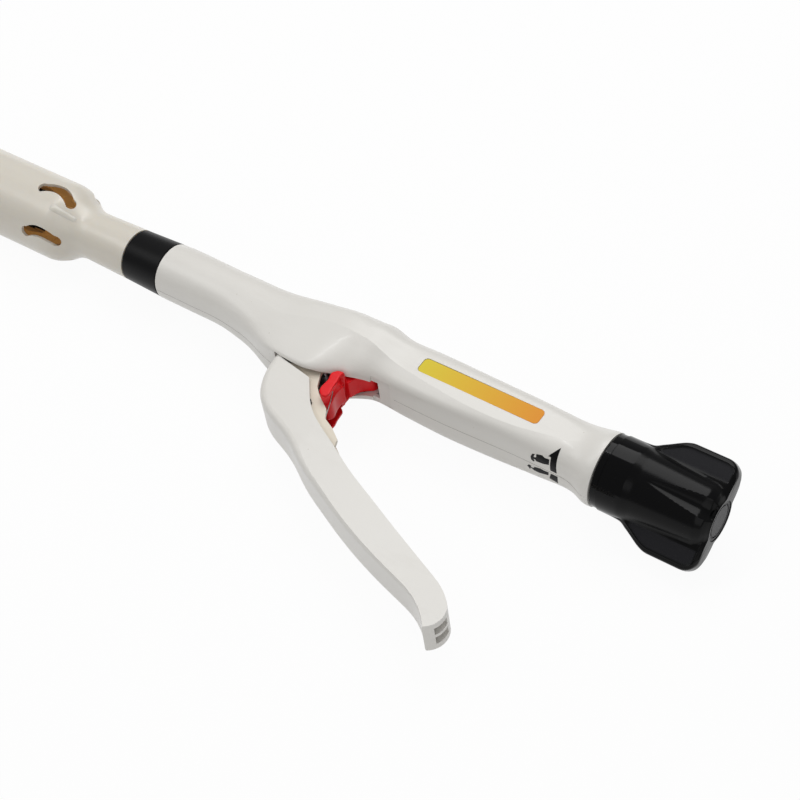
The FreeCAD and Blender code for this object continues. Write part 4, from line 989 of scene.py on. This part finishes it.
# %% Printed signs
SIGNS = {
    "sign_arrow_head": [(299.9, 58.4), (296.4, 36.6), (297.6, 37.5), (297.7, 5.0), (300.4, 5.0)],
    "sign_arrow_tail": [(297.8, -4.0), (300.7, -4.0), (300.6, -25.2), (297.1, -20.2)],
    "sign_upper_dot": [(291.3, 30.0), (290.1, 28.0), (289.4, 20.0), (289.5, 12.0), (290.6, 9.0),
                       (291.1, 12.5), (290.7, 16.5), (292.0, 18.0), (292.0, 21.5), (290.7, 22.5),
                       (290.9, 26.0)],
    "sign_upper_body": [(291.0, 21.5), (291.8, 24.2), (291.8, 31.2), (294.1, 33.6), (295.3, 31.0),
                        (297.2, 31.6), (297.2, 19.5), (294.8, 15.2), (291.8, 13.4),
                        (291.2, 17.5)],
    "sign_lower_dot": [(287.6, -13.3), (288.4, -7.0), (289.3, -8.5), (289.2, -12.0),
                       (290.6, -12.4), (290.6, -14.8), (289.0, -14.8), (288.8, -19.5)],
    "sign_lower_body": [(289.2, -13.8), (290.6, -10.6), (290.7, -7.0), (293.4, -3.2),
                        (294.9, -4.4), (296.9, -3.6), (296.7, -12.6), (294.5, -15.6),
                        (292.8, -18.0), (290.5, -17.9)],
}
for sign_name, outline in SIGNS.items():
    sign(sign_name, outline)
print("signs laid on the belly", len(SIGNS))

# %% [markdown]
# The two handle shells meet on a plane, and the joint shows as a thin grey line along the
# belly and the back. A line that follows a surface is a case for Geometry Nodes: the script
# gives a row of points found by rays, and the node tree turns them into a curve, spaces the
# points evenly and sweeps a tiny circle along it. Width and spacing are inputs of the tree.

# %% Tree that sweeps a line along a path
sweep = bpy.data.node_groups.new("line_along_path", "GeometryNodeTree")
sweep.interface.new_socket("Path", in_out="INPUT", socket_type="NodeSocketGeometry")
for label, kind in (("Radius", FLOAT), ("Spacing", FLOAT), ("Finish", "NodeSocketMaterial")):
    sweep.interface.new_socket(label, in_out="INPUT", socket_type=kind)
sweep.interface.new_socket("Line", in_out="OUTPUT", socket_type="NodeSocketGeometry")
t = Tree(sweep)
given = t.node("NodeGroupInput").outputs
curve = t.node("GeometryNodeMeshToCurve")
even = t.node("GeometryNodeResampleCurve", mode="LENGTH")
ring = t.node("GeometryNodeCurvePrimitiveCircle")
ring.inputs["Resolution"].default_value = 8
swept = t.node("GeometryNodeCurveToMesh")
swept.inputs["Fill Caps"].default_value = True
dress = t.node("GeometryNodeSetMaterial")
real = t.node("GeometryNodeRealizeInstances")
t.link(given["Path"], curve.inputs["Mesh"])
t.link(curve.outputs[0], even.inputs["Curve"])
t.link(given["Spacing"], even.inputs["Length"])
t.link(given["Radius"], ring.inputs["Radius"])
t.link(even.outputs[0], swept.inputs["Curve"])
t.link(ring.outputs[0], swept.inputs["Profile Curve"])
t.link(swept.outputs[0], dress.inputs["Geometry"])
t.link(given["Finish"], dress.inputs["Material"])
t.link(dress.outputs[0], real.inputs[0])
t.link(real.outputs[0], t.node("NodeGroupOutput").inputs[0])


def socket_id(tree, label):
    return next(item.identifier for item in tree.interface.items_tree
                if item.name == label and item.in_out == "INPUT")


def line_along(name, runs, radius, spacing, finish):
    """Plain mesh of thin lines through rows of points."""
    points = [p for run in runs for p in run]
    edges = []
    start = 0
    for run in runs:
        edges += [(start + i, start + i + 1) for i in range(len(run) - 1)]
        start += len(run)
    path = bpy.data.meshes.new(name + "_path")
    path.from_pydata(points, edges, [])
    carrier = link_object(name + "_path", path)
    node_modifier = carrier.modifiers.new("sweep", "NODES")
    node_modifier.node_group = sweep
    node_modifier[socket_id(sweep, "Radius")] = radius
    node_modifier[socket_id(sweep, "Spacing")] = spacing
    node_modifier[socket_id(sweep, "Finish")] = finish
    ready = carrier.evaluated_get(bpy.context.evaluated_depsgraph_get())
    mesh = bpy.data.meshes.new_from_object(ready)
    bpy.data.objects.remove(carrier)
    made = link_object(name, mesh)
    print(name, "faces", len(mesh.polygons))
    return made


# %% [markdown]
# The line's path is a row of rays shot at the two shells along the parting plane, from the
# belly's side and from the back. Where the mouth and the lever are, the belly has no line. It
# lies mostly below the surface, so that only a thin crease shows.

# %% Parting line of the two shells
seam_grey = plastic("seam_grey", screen(150, 146, 140), screen(136, 132, 127), 0.5, grain=0.05,
                    rub_tone=screen(166, 162, 156))
SEAM_R, SEAM_SUNK = 0.09 * MM, 0.03 * MM
SEAM_STEP = 1.5
SEAM_FRONT, MOUTH_FRONT, MOUTH_REAR, SEAM_REAR = 111.0, 178.5, 228.5, 314.5
BELLY, BACK_SIDE = -1, 1


def seam_run(first_mm, last_mm, side):
    """Points on the shells where they meet, a hair beside the parting plane itself."""
    points = []
    for i in range(int((last_mm - first_mm) / SEAM_STEP) + 1):
        start = Vector((first_mm + i * SEAM_STEP, side * 60.0, 0.05)) * MM
        hit = SHELLS.ray_cast(start, Vector((0, -side, 0)))[0]
        if hit is not None:
            points.append(Vector((hit.x, hit.y - side * SEAM_SUNK, 0)))
    return points


seam_runs = [seam_run(SEAM_FRONT, MOUTH_FRONT, BELLY), seam_run(MOUTH_REAR, SEAM_REAR, BELLY),
             seam_run(SEAM_FRONT, SEAM_REAR, BACK_SIDE)]
seam = line_along("parting_line", seam_runs, SEAM_R, SEAM_STEP * MM, seam_grey)
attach(seam, "handle")

# %% [markdown]
# A low rounded rib stands on the shoulder of the head between two windows. It is part of the
# moulding, so it has the head's own finish. Its top is a grid in axis place and angle, dropped
# on the casing by rays and lifted by a smooth bump, and a second grid just under the skin
# closes it below.

# %% Rib on the shoulder
RIB_START, RIB_END = 52.6, 63.8
RIB_ANGLE, RIB_SPREAD = 112.5, 5.5
RIB_HEIGHT, RIB_DEPTH, RIB_SUNK = 0.34 * MM, 0.25 * MM, 0.02 * MM
RIB_END_POWER, RIB_SIDE_POWER = 6, 1.4
RIB_RAY = 50 * MM


def rib_mesh(name, node, columns=28, rows=12):
    surface = bmesh.new()
    surface.from_mesh(nodes[node].data)
    search = BVHTree.FromBMesh(surface)
    surface.free()
    made = bmesh.new()
    layers = []
    for lift, depth in ((1.0, 0.0), (0.0, RIB_DEPTH)):
        grid = []
        for i in range(columns + 1):
            u = i / columns * 2 - 1
            row = []
            for j in range(rows + 1):
                v = j / rows * 2 - 1
                angle = math.radians(RIB_ANGLE + v * RIB_SPREAD)
                out_dir = Vector((0, math.cos(angle), math.sin(angle)))
                x = (RIB_START + RIB_END + u * (RIB_END - RIB_START)) / 2 * MM
                hit = search.ray_cast(Vector((x, 0, 0)) + out_dir * RIB_RAY, -out_dir)[0]
                swell = max(0.0, 1 - u ** RIB_END_POWER)
                swell *= math.cos(v * math.pi / 2) ** RIB_SIDE_POWER
                height = lift * swell * RIB_HEIGHT - depth - RIB_SUNK
                row.append(made.verts.new(hit + out_dir * height))
            grid.append(row)
        layers.append(grid)
    top, low = layers
    for i in range(columns):
        for j in range(rows):
            made.faces.new((top[i][j], top[i][j + 1], top[i + 1][j + 1], top[i + 1][j]))
            made.faces.new((low[i][j], low[i + 1][j], low[i + 1][j + 1], low[i][j + 1]))
        for j in (0, rows):
            made.faces.new((top[i][j], top[i + 1][j], low[i + 1][j], low[i][j]))
    for j in range(rows):
        for i in (0, columns):
            made.faces.new((top[i][j], top[i][j + 1], low[i][j + 1], low[i][j]))
    bmesh.ops.recalc_face_normals(made, faces=made.faces[:])
    for face in made.faces:
        face.smooth = True
    mesh = bpy.data.meshes.new(name)
    made.to_mesh(mesh)
    made.free()
    return mesh


rib = link_object("shoulder_rib", rib_mesh("shoulder_rib", "head_casing"))
rib.data.materials.append(cream_head)
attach(rib, "handle")
print("rib on the shoulder, faces", len(rib.data.polygons))
